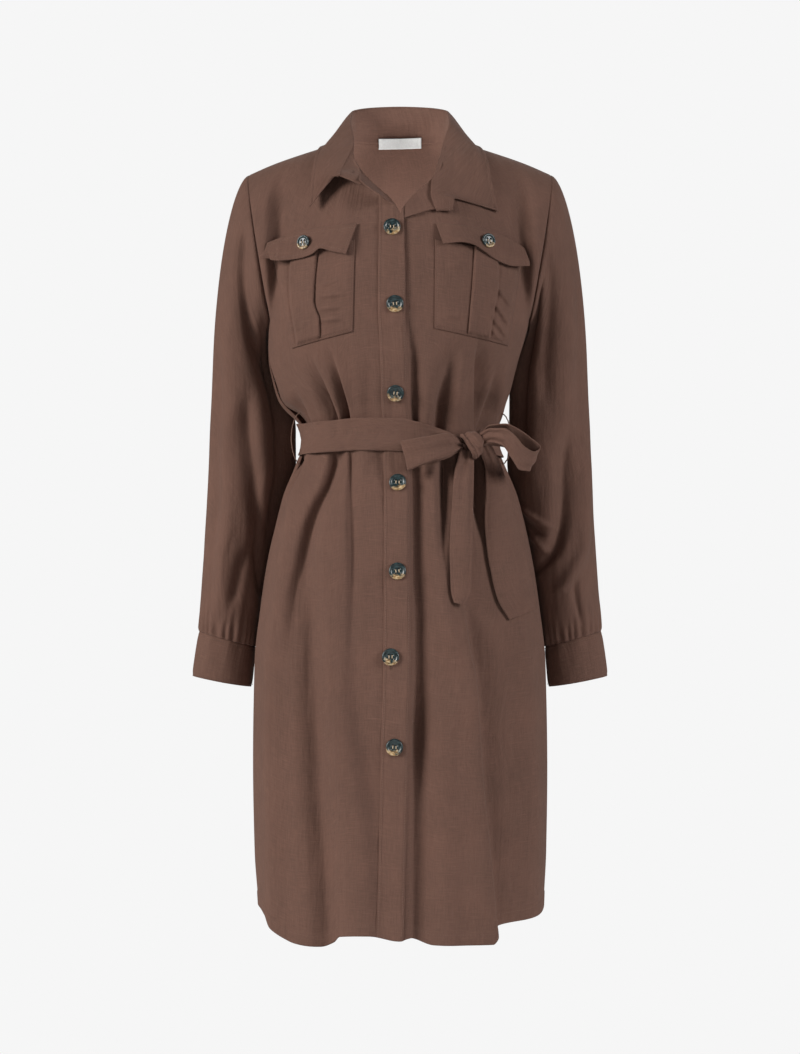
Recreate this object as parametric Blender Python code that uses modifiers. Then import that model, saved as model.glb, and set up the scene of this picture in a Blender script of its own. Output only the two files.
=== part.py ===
"""Belted shirt dress with long sleeves, filled out as on a figure.

Metres, +Z up. The front faces -Y, and +X is the wearer's left. The origin is at the height of the
shoulders' neck end, in the middle of the neck. Each sewn piece is an open sheet of cloth, worked out
from the garment's sections, its armholes and its neckline, and given its thickness by Solidify.
"""

import math
from collections import namedtuple

import bmesh
import bpy
import numpy as np

# ---- Driving sizes ----

CLOTH = 0.0012  # thickness of one sheet of cloth
SEAM_GAP = 0.0003  # pieces stay this far apart
LAYER = CLOTH + SEAM_GAP  # from one sheet's middle to that of the next sheet on it
CHEST_Z = -0.205  # height of the underarm, where the armholes start
SECTION_POWER = 2.2  # 2 is an ellipse, more is squarer
PLACKET_WIDTH = 0.031
BELT_WIDTH = 0.039
BAND_OUT = LAYER + 0.0009  # the top band over the panels
CUFF_BUTTON_RADIUS = 0.0065
BUTTON_RADIUS = 0.0100
POCKET_BUTTON_RADIUS = 0.0085
BUTTON_THICKNESS = 0.0030

# Number of faces along and across the sheets
ROWS_BELOW_CHEST = 16
ROWS_ABOVE_CHEST = 12
WAIST_STEP = 0.020  # height of a row at the waist
STEP_GROWTH = 0.16  # and how much it grows for each metre away
FRONT_COLUMNS = 17
BACK_COLUMNS = 25
SLEEVE_CAP_ROWS = 5
SLEEVE_ROWS = 12

# ---- Tables: one row for each section, fold or outline point ----

Section = namedtuple("Section", "z half_width front back")
SECTIONS = (
    Section(-0.950, 0.166, 0.134, 0.128),
    Section(-0.900, 0.169, 0.133, 0.128),
    Section(-0.840, 0.1735, 0.132, 0.127),
    Section(-0.732, 0.1755, 0.130, 0.126),
    Section(-0.612, 0.1735, 0.125, 0.121),
    Section(-0.552, 0.1670, 0.121, 0.118),
    Section(-0.492, 0.1580, 0.115, 0.112),
    Section(-0.420, 0.1400, 0.103, 0.100),
    Section(-0.372, 0.1230, 0.092, 0.088),
    Section(-0.344, 0.1180, 0.088, 0.083),
    Section(-0.318, 0.1205, 0.092, 0.085),
    Section(-0.290, 0.1305, 0.100, 0.089),
    Section(-0.250, 0.1420, 0.108, 0.095),
    Section(-0.205, 0.1540, 0.112, 0.100),
    Section(-0.180, 0.1560, 0.113, 0.101),
)

# Hem height by share of the way from the middle to the side seam: a shallow shirt tail
Hem = namedtuple("Hem", "share front_z back_z")
HEM = (
    Hem(0.00, -0.931, -0.936),
    Hem(0.35, -0.937, -0.940),
    Hem(0.60, -0.940, -0.938),
    Hem(0.80, -0.929, -0.926),
    Hem(0.92, -0.912, -0.911),
    Hem(1.00, -0.903, -0.903),
)

# Upper edge of a front half: neckline, then shoulder seam. lean is how far the cloth tips back there
Top = namedtuple("Top", "share x y z lean")
FRONT_TOP = (
    Top(0.00, 0.0000, -0.0990, -0.0895, 14),
    Top(0.03, 0.0085, -0.0960, -0.0730, 16),
    Top(0.10, 0.0270, -0.0865, -0.0540, 22),
    Top(0.16, 0.0405, -0.0765, -0.0400, 28),
    Top(0.22, 0.0505, -0.0620, -0.0250, 38),
    Top(0.28, 0.0590, -0.0380, -0.0070, 55),
    Top(0.34, 0.0660, 0.0000, 0.0100, 84),
    Top(0.55, 0.1020, 0.0000, -0.0010, 84),
    Top(0.80, 0.1480, 0.0000, -0.0165, 82),
    Top(1.00, 0.1820, 0.0000, -0.0310, 80),
)
BACK_TOP = (
    Top(0.00, 0.0000, 0.0600, 0.0145, 20),
    Top(0.18, 0.0340, 0.0555, 0.0150, 26),
    Top(0.28, 0.0560, 0.0350, 0.0145, 50),
    Top(0.34, 0.0660, 0.0000, 0.0100, 84),
    Top(0.55, 0.1020, 0.0000, -0.0010, 84),
    Top(0.80, 0.1480, 0.0000, -0.0165, 82),
    Top(1.00, 0.1820, 0.0000, -0.0310, 80),
)

# Right-hand edge of the top band, measured from the middle of the front
Edge = namedtuple("Edge", "z x")
PLACKET_EDGE = (
    Edge(-0.950, 0.0030),
    Edge(-0.850, 0.0060),
    Edge(-0.700, 0.0096),
    Edge(-0.600, 0.0120),
    Edge(-0.420, 0.0122),
    Edge(-0.300, 0.0095),
    Edge(-0.205, 0.0060),
)

# Folds seen from in front or behind: a line from top to foot, ridges positive, troughs negative
Fold = namedtuple("Fold", "face x_top z_top x_foot z_foot width depth")
FOLDS = (
    Fold("front", -0.1200, -0.262, -0.1080, -0.350, 0.0060, -0.0060),
    Fold("front", -0.0935, -0.255, -0.0775, -0.350, 0.0060, -0.0060),
    Fold("front", -0.0820, -0.262, -0.0690, -0.350, 0.0060, 0.0030),
    Fold("front", -0.0700, -0.265, -0.0618, -0.350, 0.0050, -0.0050),
    Fold("front", 0.0440, -0.250, 0.0490, -0.350, 0.0060, -0.0040),
    Fold("front", 0.0915, -0.220, 0.0905, -0.350, 0.0060, -0.0060),
    Fold("front", 0.1050, -0.270, 0.1140, -0.350, 0.0060, -0.0040),
    Fold("front", -0.1080, -0.345, -0.1280, -0.440, 0.0070, -0.0050),
    Fold("front", -0.0790, -0.345, -0.0960, -0.470, 0.0080, -0.0055),
    Fold("front", -0.0570, -0.345, -0.0660, -0.430, 0.0060, -0.0035),
    Fold("front", 0.0620, -0.345, 0.0720, -0.450, 0.0070, -0.0045),
    Fold("front", 0.0820, -0.345, 0.1000, -0.470, 0.0070, -0.0050),
    Fold("front", 0.1050, -0.345, 0.1300, -0.460, 0.0070, -0.0040),
    Fold("front", -0.0720, -0.430, -0.0870, -1.050, 0.0170, -0.0075),
    Fold("front", -0.1100, -0.480, -0.1220, -1.050, 0.0150, 0.0060),
    Fold("front", -0.0480, -0.520, -0.0500, -1.050, 0.0150, 0.0045),
    Fold("front", 0.0180, -0.400, 0.0150, -1.050, 0.0080, -0.0045),
    Fold("front", 0.0580, -0.470, 0.0650, -1.050, 0.0180, 0.0050),
    Fold("front", 0.0950, -0.540, 0.1130, -1.050, 0.0080, -0.0065),
    Fold("front", 0.1250, -0.520, 0.1350, -1.050, 0.0120, 0.0050),
    Fold("back", -0.1000, -0.440, -0.1150, -1.050, 0.0170, -0.0070),
    Fold("back", -0.0600, -0.430, -0.0680, -1.050, 0.0160, 0.0060),
    Fold("back", -0.0200, -0.440, -0.0230, -1.050, 0.0150, -0.0060),
    Fold("back", 0.0220, -0.430, 0.0260, -1.050, 0.0160, 0.0060),
    Fold("back", 0.0650, -0.450, 0.0760, -1.050, 0.0150, -0.0070),
    Fold("back", 0.1080, -0.440, 0.1240, -1.050, 0.0170, 0.0060),
    Fold("back", -0.0850, -0.120, -0.0600, -0.340, 0.0130, -0.0040),
    Fold("back", 0.0850, -0.130, 0.0620, -0.340, 0.0130, -0.0040),
)

# Swell of the cloth near a side seam. angle is measured round the body from the middle of the front
Swell = namedtuple("Swell", "angle z_top z_foot spread_front spread_back depth")
SWELLS = (Swell(-97, -0.200, -0.325, 7, 24, 0.0170),)

GATHERS = 27  # small pleats round the waist
GATHER_DEPTH = 0.0032
GATHER_RISE = 0.085  # height over which they fade above the belt
GATHER_FALL = 0.150  # and below it
FLAT_FRONT = 0.030  # no gathers this near the middle of the front

# Sleeve sections. inner is the edge next to the body, for the right and for the left sleeve
Sleeve = namedtuple("Sleeve", "z outer inner_right inner_left y_middle half_depth")
SLEEVES = (
    Sleeve(-0.2500, 0.2262, 0.1600, 0.1450, 0.033, 0.050),
    Sleeve(-0.2700, 0.2272, 0.1540, 0.1370, 0.038, 0.051),
    Sleeve(-0.3000, 0.2286, 0.1420, 0.1330, 0.043, 0.051),
    Sleeve(-0.3360, 0.2304, 0.1300, 0.1330, 0.044, 0.051),
    Sleeve(-0.3720, 0.2316, 0.1310, 0.1310, 0.044, 0.050),
    Sleeve(-0.4200, 0.2335, 0.1430, 0.1430, 0.043, 0.048),
    Sleeve(-0.4920, 0.2375, 0.1600, 0.1600, 0.040, 0.044),
    Sleeve(-0.5400, 0.2405, 0.1680, 0.1680, 0.038, 0.041),
    Sleeve(-0.5750, 0.2425, 0.1735, 0.1735, 0.036, 0.036),
    Sleeve(-0.5875, 0.2424, 0.1764, 0.1764, 0.036, 0.0325),
)
SLEEVE_TILT = 0.00925  # half of how much lower a sleeve ends on its inner side
SLEEVE_GATHERS = 13
SLEEVE_GATHER_DEPTH = 0.0022
SLEEVE_GATHER_RISE = 0.055

SleeveFold = namedtuple("SleeveFold", "side angle_top z_top angle_foot z_foot spread depth")
SLEEVE_FOLDS = (
    SleeveFold(-1, 60, -0.060, 128, -0.270, 16, -0.0060),
    SleeveFold(-1, 100, -0.330, 80, -0.560, 18, -0.0060),
    SleeveFold(-1, 30, -0.200, 45, -0.500, 16, -0.0040),
    SleeveFold(-1, 250, -0.100, 220, -0.400, 18, -0.0050),
    SleeveFold(-1, 300, -0.300, 280, -0.560, 16, -0.0040),
    SleeveFold(1, 105, -0.370, 62, -0.540, 16, -0.0060),
    SleeveFold(1, 35, -0.130, 50, -0.480, 16, -0.0040),
    SleeveFold(1, 140, -0.380, 95, -0.450, 16, -0.0050),
    SleeveFold(1, 250, -0.110, 225, -0.420, 18, -0.0050),
    SleeveFold(1, 300, -0.300, 275, -0.560, 16, -0.0040),
)

Cuff = namedtuple("Cuff", "share outer inner outer_z inner_z half_depth")
CUFFS = (
    Cuff(0.0, 0.2424, 0.1764, -0.57825, -0.59675, 0.0325),
    Cuff(0.5, 0.2464, 0.1782, -0.6050, -0.6210, 0.0335),
    Cuff(1.0, 0.2500, 0.1802, -0.6325, -0.6455, 0.0345),
)

# Collar from the middle of the back to the front: seam on the neckline, roll at the top, outer edge.
# lift is how far the fall stands proud of the straight line down to its edge. Over is a place that
# shows at x and z and lies clear in front of the front panel. Both halves are given at +X.
Collar = namedtuple("Collar", "seam roll edge lift")
Over = namedtuple("Over", "x z clear")
COLLAR_BACK = (
    Collar((0.0000, 0.0600, 0.0148), (0.0000, 0.0655, 0.0600), (0.0000, 0.0950, 0.0160), 0.006),
    Collar((0.0340, 0.0555, 0.0153), (0.0345, 0.0590, 0.0590), (0.0500, 0.0850, 0.0130), 0.006),
    Collar((0.0560, 0.0350, 0.0148), (0.0580, 0.0330, 0.0550), (0.0860, 0.0520, 0.0060), 0.005),
    Collar((0.0658, 0.0000, 0.0104), (0.0590, -0.0020, 0.0330), (0.0990, 0.0000, 0.0050), 0.005),
)
COLLAR_LEFT = (
    Collar((0.0587, -0.0382, -0.0064), (0.0512, -0.0330, 0.0040), Over(0.1040, -0.0200, 0.006), 0.004),
    Collar((0.0485, -0.0665, -0.0280), (0.0432, -0.0700, -0.0290), Over(0.1090, -0.0500, 0.005), 0.003),
    Collar(Over(0.0400, -0.0450, 0.002), Over(0.0365, -0.0520, 0.006), Over(0.1153, -0.0820, 0.004), 0.002),
    Collar(Over(0.0385, -0.0640, 0.005), Over(0.0365, -0.0650, 0.006), Over(0.0641, -0.0692, 0.006), 0.001),
    Collar(Over(0.0440, -0.0830, 0.004), Over(0.0431, -0.0844, 0.005), Over(0.0617, -0.0844, 0.005), 0.0),
)
COLLAR_RIGHT = (
    Collar((0.0587, -0.0382, -0.0064), (0.0535, -0.0330, 0.0040), Over(0.1010, -0.0200, 0.006), 0.004),
    Collar((0.0520, -0.0590, -0.0215), (0.0490, -0.0580, -0.0190), Over(0.1040, -0.0480, 0.005), 0.003),
    Collar((0.0470, -0.0690, -0.0310), Over(0.0680, -0.0375, 0.007), Over(0.1049, -0.0785, 0.004), 0.001),
    Collar(Over(0.0450, -0.0410, 0.004), Over(0.0560, -0.0385, 0.005), Over(0.0700, -0.0400, 0.006), 0.0),
    Collar(Over(0.0452, -0.0525, 0.004), Over(0.0570, -0.0480, 0.005), Over(0.0695, -0.0430, 0.005), 0.0),
)
STAND_HEIGHT = 0.030
COLLAR_COLUMNS = 38
STAND_STEPS = (0.0, 0.38, 0.68, 0.90, 1.0)  # rows of faces, closest together at the fold
FALL_STEPS = (0.0, 0.05, 0.16, 0.34, 0.56, 0.78, 1.0)

# Pocket corners and flap outline seen from in front, for the left side; the right side has its own
Corner = namedtuple("Corner", "x z")
POCKET_LEFT = (Corner(0.0410, -0.1180), Corner(0.1435, -0.1330), Corner(0.1275, -0.2390), Corner(0.0400, -0.2215))
POCKET_RIGHT = (Corner(-0.0525, -0.1180), Corner(-0.1500, -0.1330), Corner(-0.1270, -0.2420), Corner(-0.0550, -0.2250))
FlapPoint = namedtuple("FlapPoint", "x top_z foot_z")
FLAP_LEFT = (
    FlapPoint(0.0420, -0.0985, -0.1225),
    FlapPoint(0.0740, -0.1000, -0.1205),
    FlapPoint(0.0890, -0.1025, -0.1225),
    FlapPoint(0.1130, -0.1085, -0.1390),
    FlapPoint(0.1310, -0.1150, -0.1450),
    FlapPoint(0.1480, -0.1240, -0.1450),
)
FLAP_RIGHT = (
    FlapPoint(-0.0495, -0.0990, -0.1240),
    FlapPoint(-0.0720, -0.1000, -0.1300),
    FlapPoint(-0.0930, -0.1010, -0.1270),
    FlapPoint(-0.1190, -0.1050, -0.1385),
    FlapPoint(-0.1420, -0.1130, -0.1400),
    FlapPoint(-0.1590, -0.1200, -0.1360),
)
PLEAT_SHARES = (0.44, 0.70)  # a box pleat's edges, as shares of its pocket's width
PLEAT_RISE = 0.0018
POCKET_OUT = 0.0023  # middle of a pocket's cloth from the middle of the panel's
FLAP_OUT = (0.0020, 0.0044, 0.0068, 0.0070)  # and of a flap's, from its top to its foot

# Bow: each row joins the upper edge to the lower edge, or the left edge to the right
Ribbon = namedtuple("Ribbon", "x1 y1 z1 x2 y2 z2")
BOW_LOOP_RIGHT = (
    Ribbon(0.0729, -0.0870, -0.3530, 0.0727, -0.0865, -0.3600),
    Ribbon(0.0560, -0.0960, -0.3470, 0.0560, -0.0950, -0.3720),
    Ribbon(0.0300, -0.1010, -0.3500, 0.0310, -0.1000, -0.3790),
    Ribbon(0.0080, -0.1025, -0.3525, 0.0140, -0.1020, -0.3850),
    Ribbon(0.0005, -0.1060, -0.3530, 0.0090, -0.1050, -0.3868),
    Ribbon(0.0010, -0.1100, -0.3525, 0.0095, -0.1090, -0.3865),
    Ribbon(0.0085, -0.1130, -0.3510, 0.0150, -0.1120, -0.3840),
    Ribbon(0.0300, -0.1140, -0.3475, 0.0310, -0.1120, -0.3780),
    Ribbon(0.0560, -0.1080, -0.3435, 0.0560, -0.1060, -0.3700),
    Ribbon(0.0731, -0.0900, -0.3520, 0.0727, -0.0895, -0.3600),
)
BOW_LOOP_LEFT = (
    Ribbon(0.0960, -0.0810, -0.3465, 0.0963, -0.0800, -0.3560),
    Ribbon(0.1060, -0.0790, -0.3340, 0.1070, -0.0760, -0.3600),
    Ribbon(0.1270, -0.0760, -0.3345, 0.1240, -0.0720, -0.3680),
    Ribbon(0.1490, -0.0720, -0.3440, 0.1420, -0.0690, -0.3760),
    Ribbon(0.1620, -0.0740, -0.3540, 0.1520, -0.0710, -0.3800),
    Ribbon(0.1650, -0.0800, -0.3590, 0.1540, -0.0780, -0.3830),
    Ribbon(0.1560, -0.0870, -0.3600, 0.1480, -0.0860, -0.3870),
    Ribbon(0.1390, -0.0920, -0.3540, 0.1330, -0.0920, -0.3800),
    Ribbon(0.1180, -0.0920, -0.3440, 0.1150, -0.0920, -0.3650),
    Ribbon(0.0963, -0.0860, -0.3465, 0.0965, -0.0850, -0.3555),
)
# Tails: left edge and right edge, and how far they hang in front of the skirt
Tail = namedtuple("Tail", "x1 z1 x2 z2 clear1 clear2")
TAIL_RIGHT = (
    Tail(0.0725, -0.3662, 0.0825, -0.3677, 0.013, 0.014),
    Tail(0.0640, -0.4000, 0.0845, -0.4000, 0.011, 0.015),
    Tail(0.0605, -0.4290, 0.0850, -0.4290, 0.009, 0.015),
    Tail(0.0585, -0.4550, 0.0845, -0.4550, 0.009, 0.014),
    Tail(0.0575, -0.4820, 0.0840, -0.4820, 0.009, 0.013),
    Tail(0.0580, -0.5050, 0.0830, -0.5050, 0.009, 0.013),
    Tail(0.0590, -0.5260, 0.0818, -0.5260, 0.009, 0.013),
    Tail(0.0625, -0.5400, 0.0760, -0.5425, 0.009, 0.012),
)
TAIL_LEFT = (
    Tail(0.0910, -0.3665, 0.1050, -0.3615, 0.014, 0.015),
    Tail(0.0990, -0.3880, 0.1180, -0.3820, 0.010, 0.012),
    Tail(0.1010, -0.4120, 0.1290, -0.4080, 0.010, 0.013),
    Tail(0.0990, -0.4430, 0.1360, -0.4380, 0.010, 0.012),
    Tail(0.1010, -0.4760, 0.1440, -0.4690, 0.009, 0.011),
    Tail(0.1065, -0.5080, 0.1520, -0.5000, 0.009, 0.011),
    Tail(0.1140, -0.5370, 0.1580, -0.5260, 0.009, 0.011),
    Tail(0.1280, -0.5610, 0.1612, -0.5485, 0.009, 0.011),
)
KNOT_CENTRE = (0.0850, -0.0855, -0.3550)
KNOT_SIZE = (0.0225, 0.0235, 0.0270)

# Middle of the belt's height round the body; it dips to the knot at the wearer's left
BELT_LINE = (
    Edge(-0.3465, -0.20),
    Edge(-0.3445, -0.06),
    Edge(-0.3450, 0.02),
    Edge(-0.3530, 0.07),
    Edge(-0.3540, 0.10),
    Edge(-0.3500, 0.20),
)

# Front buttons down the band: the band's middle is worked out from its edge
BUTTON_HEIGHTS = (-0.1020, -0.1935, -0.2965, -0.4005, -0.5035, -0.6025, -0.7065)
PocketButton = namedtuple("PocketButton", "name x z")
POCKET_BUTTONS = (
    PocketButton("pocket_button_right", -0.1127, -0.1195),
    PocketButton("pocket_button_left", 0.1032, -0.1180),
)

CARRIER_Z = -0.3465
CARRIER_HALF = 0.033
CARRIER_SHARE = 0.94
CARRIER_REACH = 0.0155
CARRIER_OUT = {-1: 0.0036, 1: 0.0030}  # thread's middle from the cloth's, right and left
BELT_COLUMNS = 44
BELT_SPAN = 0.11  # the belt bridges dips narrower than this, in radians
BELT_EASE = -0.0014  # the belt presses this far into the gathers' tops

LABEL_WIDTH = 0.052
LABEL_HEIGHT = 0.013
LABEL_Z = 0.0150

CLOTH_COLOUR = (0.145, 0.079, 0.058)
BAND_COLOUR = (0.150, 0.082, 0.060)
BUTTON_COLOUR = (0.045, 0.050, 0.050)
LABEL_COLOUR = (0.800, 0.800, 0.780)


# ---- Small tools ----


def smooth_step(t):
    """0 below 0, 1 above 1, and an S-shaped rise between."""
    t = np.clip(t, 0.0, 1.0)
    return t * t * (3.0 - 2.0 * t)


def through(keys, values, at):
    """Smooth curve through the given values that never overshoots them."""
    keys = np.asarray(keys, float)
    values = np.asarray(values, float)
    if keys[0] > keys[-1]:
        keys, values = keys[::-1], values[::-1]
    at = np.clip(np.asarray(at, float), keys[0], keys[-1])
    step = np.diff(keys)
    rise = np.diff(values) / step
    slope = np.zeros(len(keys))
    same_way = rise[:-1] * rise[1:] > 0
    harmonic = 2.0 * rise[:-1] * rise[1:] / np.where(same_way, rise[:-1] + rise[1:], 1.0)
    slope[1:-1] = np.where(same_way, harmonic, 0.0)
    slope[0], slope[-1] = rise[0], rise[-1]
    i = np.clip(np.searchsorted(keys, at) - 1, 0, len(step) - 1)
    t = (at - keys[i]) / step[i]
    start = values[i] + t * t * (3 - 2 * t) * (values[i + 1] - values[i])
    return start + step[i] * t * (1 - t) * ((1 - t) * slope[i] - t * slope[i + 1])


def column(table, key, name, at):
    """The named column of a table at the given values of its key column."""
    return through([getattr(r, key) for r in table], [getattr(r, name) for r in table], at)


def stack(*parts):
    return np.stack(np.broadcast_arrays(*parts), -1)


def unit(vectors):
    return vectors / np.maximum(np.linalg.norm(vectors, axis=-1, keepdims=True), 1e-12)


def bezier(p0, p1, p2, p3, t):
    t = np.asarray(t)[..., None]
    s = 1.0 - t
    return s**3 * p0 + 3 * s * s * t * p1 + 3 * s * t * t * p2 + t**3 * p3


# ---- The body's surface ----


def section(angle, z):
    """Points on the body's section at height z; angle 0 is the front, +90 degrees the wearer's left."""
    half = column(SECTIONS, "z", "half_width", z)
    front = column(SECTIONS, "z", "front", z)
    back = column(SECTIONS, "z", "back", z)
    s, c = np.sin(angle), np.cos(angle)
    round_off = 2.0 / SECTION_POWER
    x = half * np.sign(s) * np.abs(s) ** round_off
    y = -np.where(c > 0, front, back) * np.sign(c) * np.abs(c) ** round_off
    return stack(x, y, z)


def share_at(x, z):
    """How far round a quarter of the front a point with this x lies: 0 middle, 1 side seam."""
    half = column(SECTIONS, "z", "half_width", z)
    ratio = np.clip(np.abs(x) / half, 0.0, 1.0)
    return np.sign(x) * np.arcsin(ratio ** (SECTION_POWER / 2.0)) / (math.pi / 2.0)


def hem_z(face, share):
    return column(HEM, "share", face + "_z", np.abs(share))


def below_chest(face, share, t):
    """t runs from 0 at the hem to 1 at the chest line."""
    low = hem_z(face, share)
    z = low + (CHEST_Z - low) * t
    angle = share * math.pi / 2.0
    if face == "back":
        angle = math.pi - angle
    return section(angle, z)


def above_chest(face, share, t):
    """t runs from 0 at the chest line to 1 at the neckline, shoulder seam or armhole's top."""
    way = -1.0 if face == "front" else 1.0
    table = FRONT_TOP if face == "front" else BACK_TOP
    size, sign = np.abs(share), np.where(np.asarray(share) < 0, -1.0, 1.0)
    foot = below_chest(face, size, np.ones_like(size))
    top = stack(*(column(table, "share", name, size) for name in ("x", "y", "z")))
    lean = np.radians(column(table, "share", "lean", size))
    at_arm = smooth_step((size - 0.72) / 0.28)
    zero = np.zeros_like(size)
    up = unit(stack(0.02 + 0.10 * at_arm, way * (0.02 + 1.30 * at_arm), 1.0 - 0.55 * at_arm))
    over = unit(stack(zero, -way * np.sin(lean), np.cos(lean)))
    reach = np.linalg.norm(top - foot, axis=-1, keepdims=True)
    first = foot + up * reach * (0.36 + 0.10 * at_arm[..., None])
    last = top - over * reach * (0.36 + 0.02 * at_arm[..., None])
    points = bezier(foot, first, last, top, t)
    return points * stack(sign, 1.0, 1.0)


def base_surface(face, share, v):
    """v runs from 0 at the hem through 1 at the chest line to 2 at the top edge."""
    share, v = np.broadcast_arrays(np.asarray(share, float), np.asarray(v, float))
    low = below_chest(face, share, np.clip(v, 0.0, 1.0))
    high = above_chest(face, share, np.clip(v - 1.0, 0.0, 1.0))
    return np.where((v > 1.0)[..., None], high, low)


def normals(face, share, v):
    """Unit vectors out of the cloth, from small steps along the surface."""
    e = 0.004
    share, v = np.broadcast_arrays(np.asarray(share, float), np.asarray(v, float))
    sideways = base_surface(face, np.minimum(share + e, 1.0), v) - base_surface(face, np.maximum(share - e, -1.0), v)
    upward = base_surface(face, share, np.minimum(v + e, 2.0)) - base_surface(face, share, np.maximum(v - e, 0.0))
    found = unit(np.cross(sideways, upward))
    return found if face == "front" else -found


def gather_height(angle, x, z):
    """Small irregular pleats above and below the belt."""
    above = z > BELT_LINE[1].z
    rise = np.where(above, (z - BELT_LINE[1].z) / GATHER_RISE, (BELT_LINE[1].z - z) / GATHER_FALL)
    fade = 1.0 - smooth_step(rise)
    under_belt = 0.35 + 0.65 * smooth_step((np.abs(z - BELT_LINE[1].z) - 0.3 * BELT_WIDTH) / (0.5 * BELT_WIDTH))
    wave = np.sin(GATHERS * angle + 1.4 * np.sin(3 * angle) + 0.8 * np.sin(7 * angle + 1.0))
    apart = smooth_step((np.abs(x) - FLAT_FRONT) / 0.020)
    flat = np.where(np.abs(angle) < math.pi / 2, apart, 1.0)
    return GATHER_DEPTH * fade * under_belt * wave * flat


def fold_height(face, x, z):
    total = np.zeros_like(x)
    for fold in FOLDS:
        if fold.face != face:
            continue
        t = (fold.z_top - z) / (fold.z_top - fold.z_foot)
        line = fold.x_top + (fold.x_foot - fold.x_top) * t
        ends = smooth_step(t / 0.3) * smooth_step((1.0 - t) / 0.3)
        total += fold.depth * ends * np.exp(-(((x - line) / fold.width) ** 2))
    return total


def swell_height(angle, z):
    total = np.zeros_like(z)
    for swell in SWELLS:
        t = (swell.z_top - z) / (swell.z_top - swell.z_foot)
        ends = smooth_step(t / 0.45) * smooth_step((1.0 - t) / 0.35)
        off = (np.degrees(angle) - swell.angle + 180.0) % 360.0 - 180.0
        spread = np.where(off * np.sign(swell.angle) < 0, swell.spread_front, swell.spread_back)
        total += swell.depth * ends * np.exp(-((off / spread) ** 2))
    return total


def body(face, share, v, out=0.0):
    """Points of the cloth with its folds, moved out by out."""
    base = base_surface(face, share, v)
    x, z = base[..., 0], base[..., 2]
    angle = np.asarray(share) * math.pi / 2.0 + np.zeros_like(x)
    if face == "back":
        angle = np.sign(angle + 1e-12) * math.pi - angle
    calm = 1.0 - smooth_step((np.asarray(v) - 1.25) / 0.4)
    height = gather_height(angle, x, z) + fold_height(face, x, z)
    height = height * calm + swell_height(angle, z) * (1.0 - smooth_step(np.asarray(v) - 1.0))
    return base + normals(face, share, v) * (height + out)[..., None]


def find(face, x, z):
    """The share and v at which the body shows at x and z when seen from in front or behind."""
    x, z = np.broadcast_arrays(np.asarray(x, float), np.asarray(z, float))
    share = share_at(x, np.maximum(z, CHEST_Z))
    low = hem_z(face, share)
    v = np.where(z < CHEST_Z, (z - low) / (CHEST_Z - low), 1.0 + (z - CHEST_Z) / 0.18)
    step = 0.003
    for _ in range(14):
        here = base_surface(face, share, v)
        by_share = (base_surface(face, share + step, v) - here) / step
        by_v = (base_surface(face, share, v + step) - here) / step
        dx, dz = x - here[..., 0], z - here[..., 2]
        flat = by_share[..., 0] * by_v[..., 2] - by_share[..., 2] * by_v[..., 0]
        flat = np.where(np.abs(flat) < 1e-7, 1e-7, flat)
        share = np.clip(share + np.clip((dx * by_v[..., 2] - dz * by_v[..., 0]) / flat, -0.1, 0.1), -0.985, 0.985)
        v = np.clip(v + np.clip((dz * by_share[..., 0] - dx * by_share[..., 2]) / flat, -0.2, 0.2), 0.0, 1.985)
    return share, v


def on_body(face, x, z, out=0.0):
    """Points that show at x and z and lie out from the cloth."""
    x, z, out = np.broadcast_arrays(np.asarray(x, float), np.asarray(z, float), np.asarray(out, float))
    aim_x, aim_z = x.copy(), z.copy()
    for _ in range(5):
        share, v = find(face, aim_x, aim_z)
        points = body(face, share, v, out)
        aim_x = aim_x + 0.8 * (x - points[..., 0])
        aim_z = aim_z + 0.8 * (z - points[..., 2])
    return points


# ---- Making objects ----


def clear_scene():
    for item in list(bpy.data.objects):
        bpy.data.objects.remove(item, do_unlink=True)


def make_collection(name):
    made = bpy.data.collections.new(name)
    bpy.context.scene.collection.children.link(made)
    return made


def make_material(name, colour, roughness):
    material = bpy.data.materials.new(name)
    material.use_nodes = True
    shader = material.node_tree.nodes["Principled BSDF"]
    shader.inputs["Base Color"].default_value = (*colour, 1.0)
    shader.inputs["Roughness"].default_value = roughness
    shader.inputs["Metallic"].default_value = 0.0
    return material


def make_object(name, mesh, material):
    item = bpy.data.objects.new(name, mesh)
    mesh.materials.append(material)
    DRESS.objects.link(item)
    item.parent = HOLDER
    return item


def sheet_object(name, grid, material, closed=False, wall=CLOTH, corners=()):
    """An open sheet through a grid of points, given its thickness. corners are faces left out."""
    rows, columns = grid.shape[:2]
    mesh = bpy.data.meshes.new(name)
    shape = bmesh.new()
    points = [[shape.verts.new(point) for point in row] for row in grid]
    across = columns if closed else columns - 1
    for i in range(rows - 1):
        for j in range(across):
            if (i, j) in corners:
                continue
            k = (j + 1) % columns
            shape.faces.new((points[i][j], points[i][k], points[i + 1][k], points[i + 1][j]))
    bmesh.ops.delete(shape, geom=[v for v in shape.verts if not v.link_faces], context="VERTS")
    shape.to_mesh(mesh)
    shape.free()
    mesh.shade_smooth()
    item = make_object(name, mesh, material)
    thick = item.modifiers.new("Cloth", "SOLIDIFY")
    thick.thickness = wall
    thick.offset = 0.0
    return item


def inset(grid, gap, sides="news"):
    """Draws the named edges of a grid in along its own surface: n last row, s first, e last column."""
    grid = grid.copy()
    if "s" in sides:
        grid[0] += unit(grid[1] - grid[0]) * gap
    if "n" in sides:
        grid[-1] += unit(grid[-2] - grid[-1]) * gap
    if "w" in sides:
        grid[:, 0] += unit(grid[:, 1] - grid[:, 0]) * gap
    if "e" in sides:
        grid[:, -1] += unit(grid[:, -2] - grid[:, -1]) * gap
    return grid


# ---- Pieces ----


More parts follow.
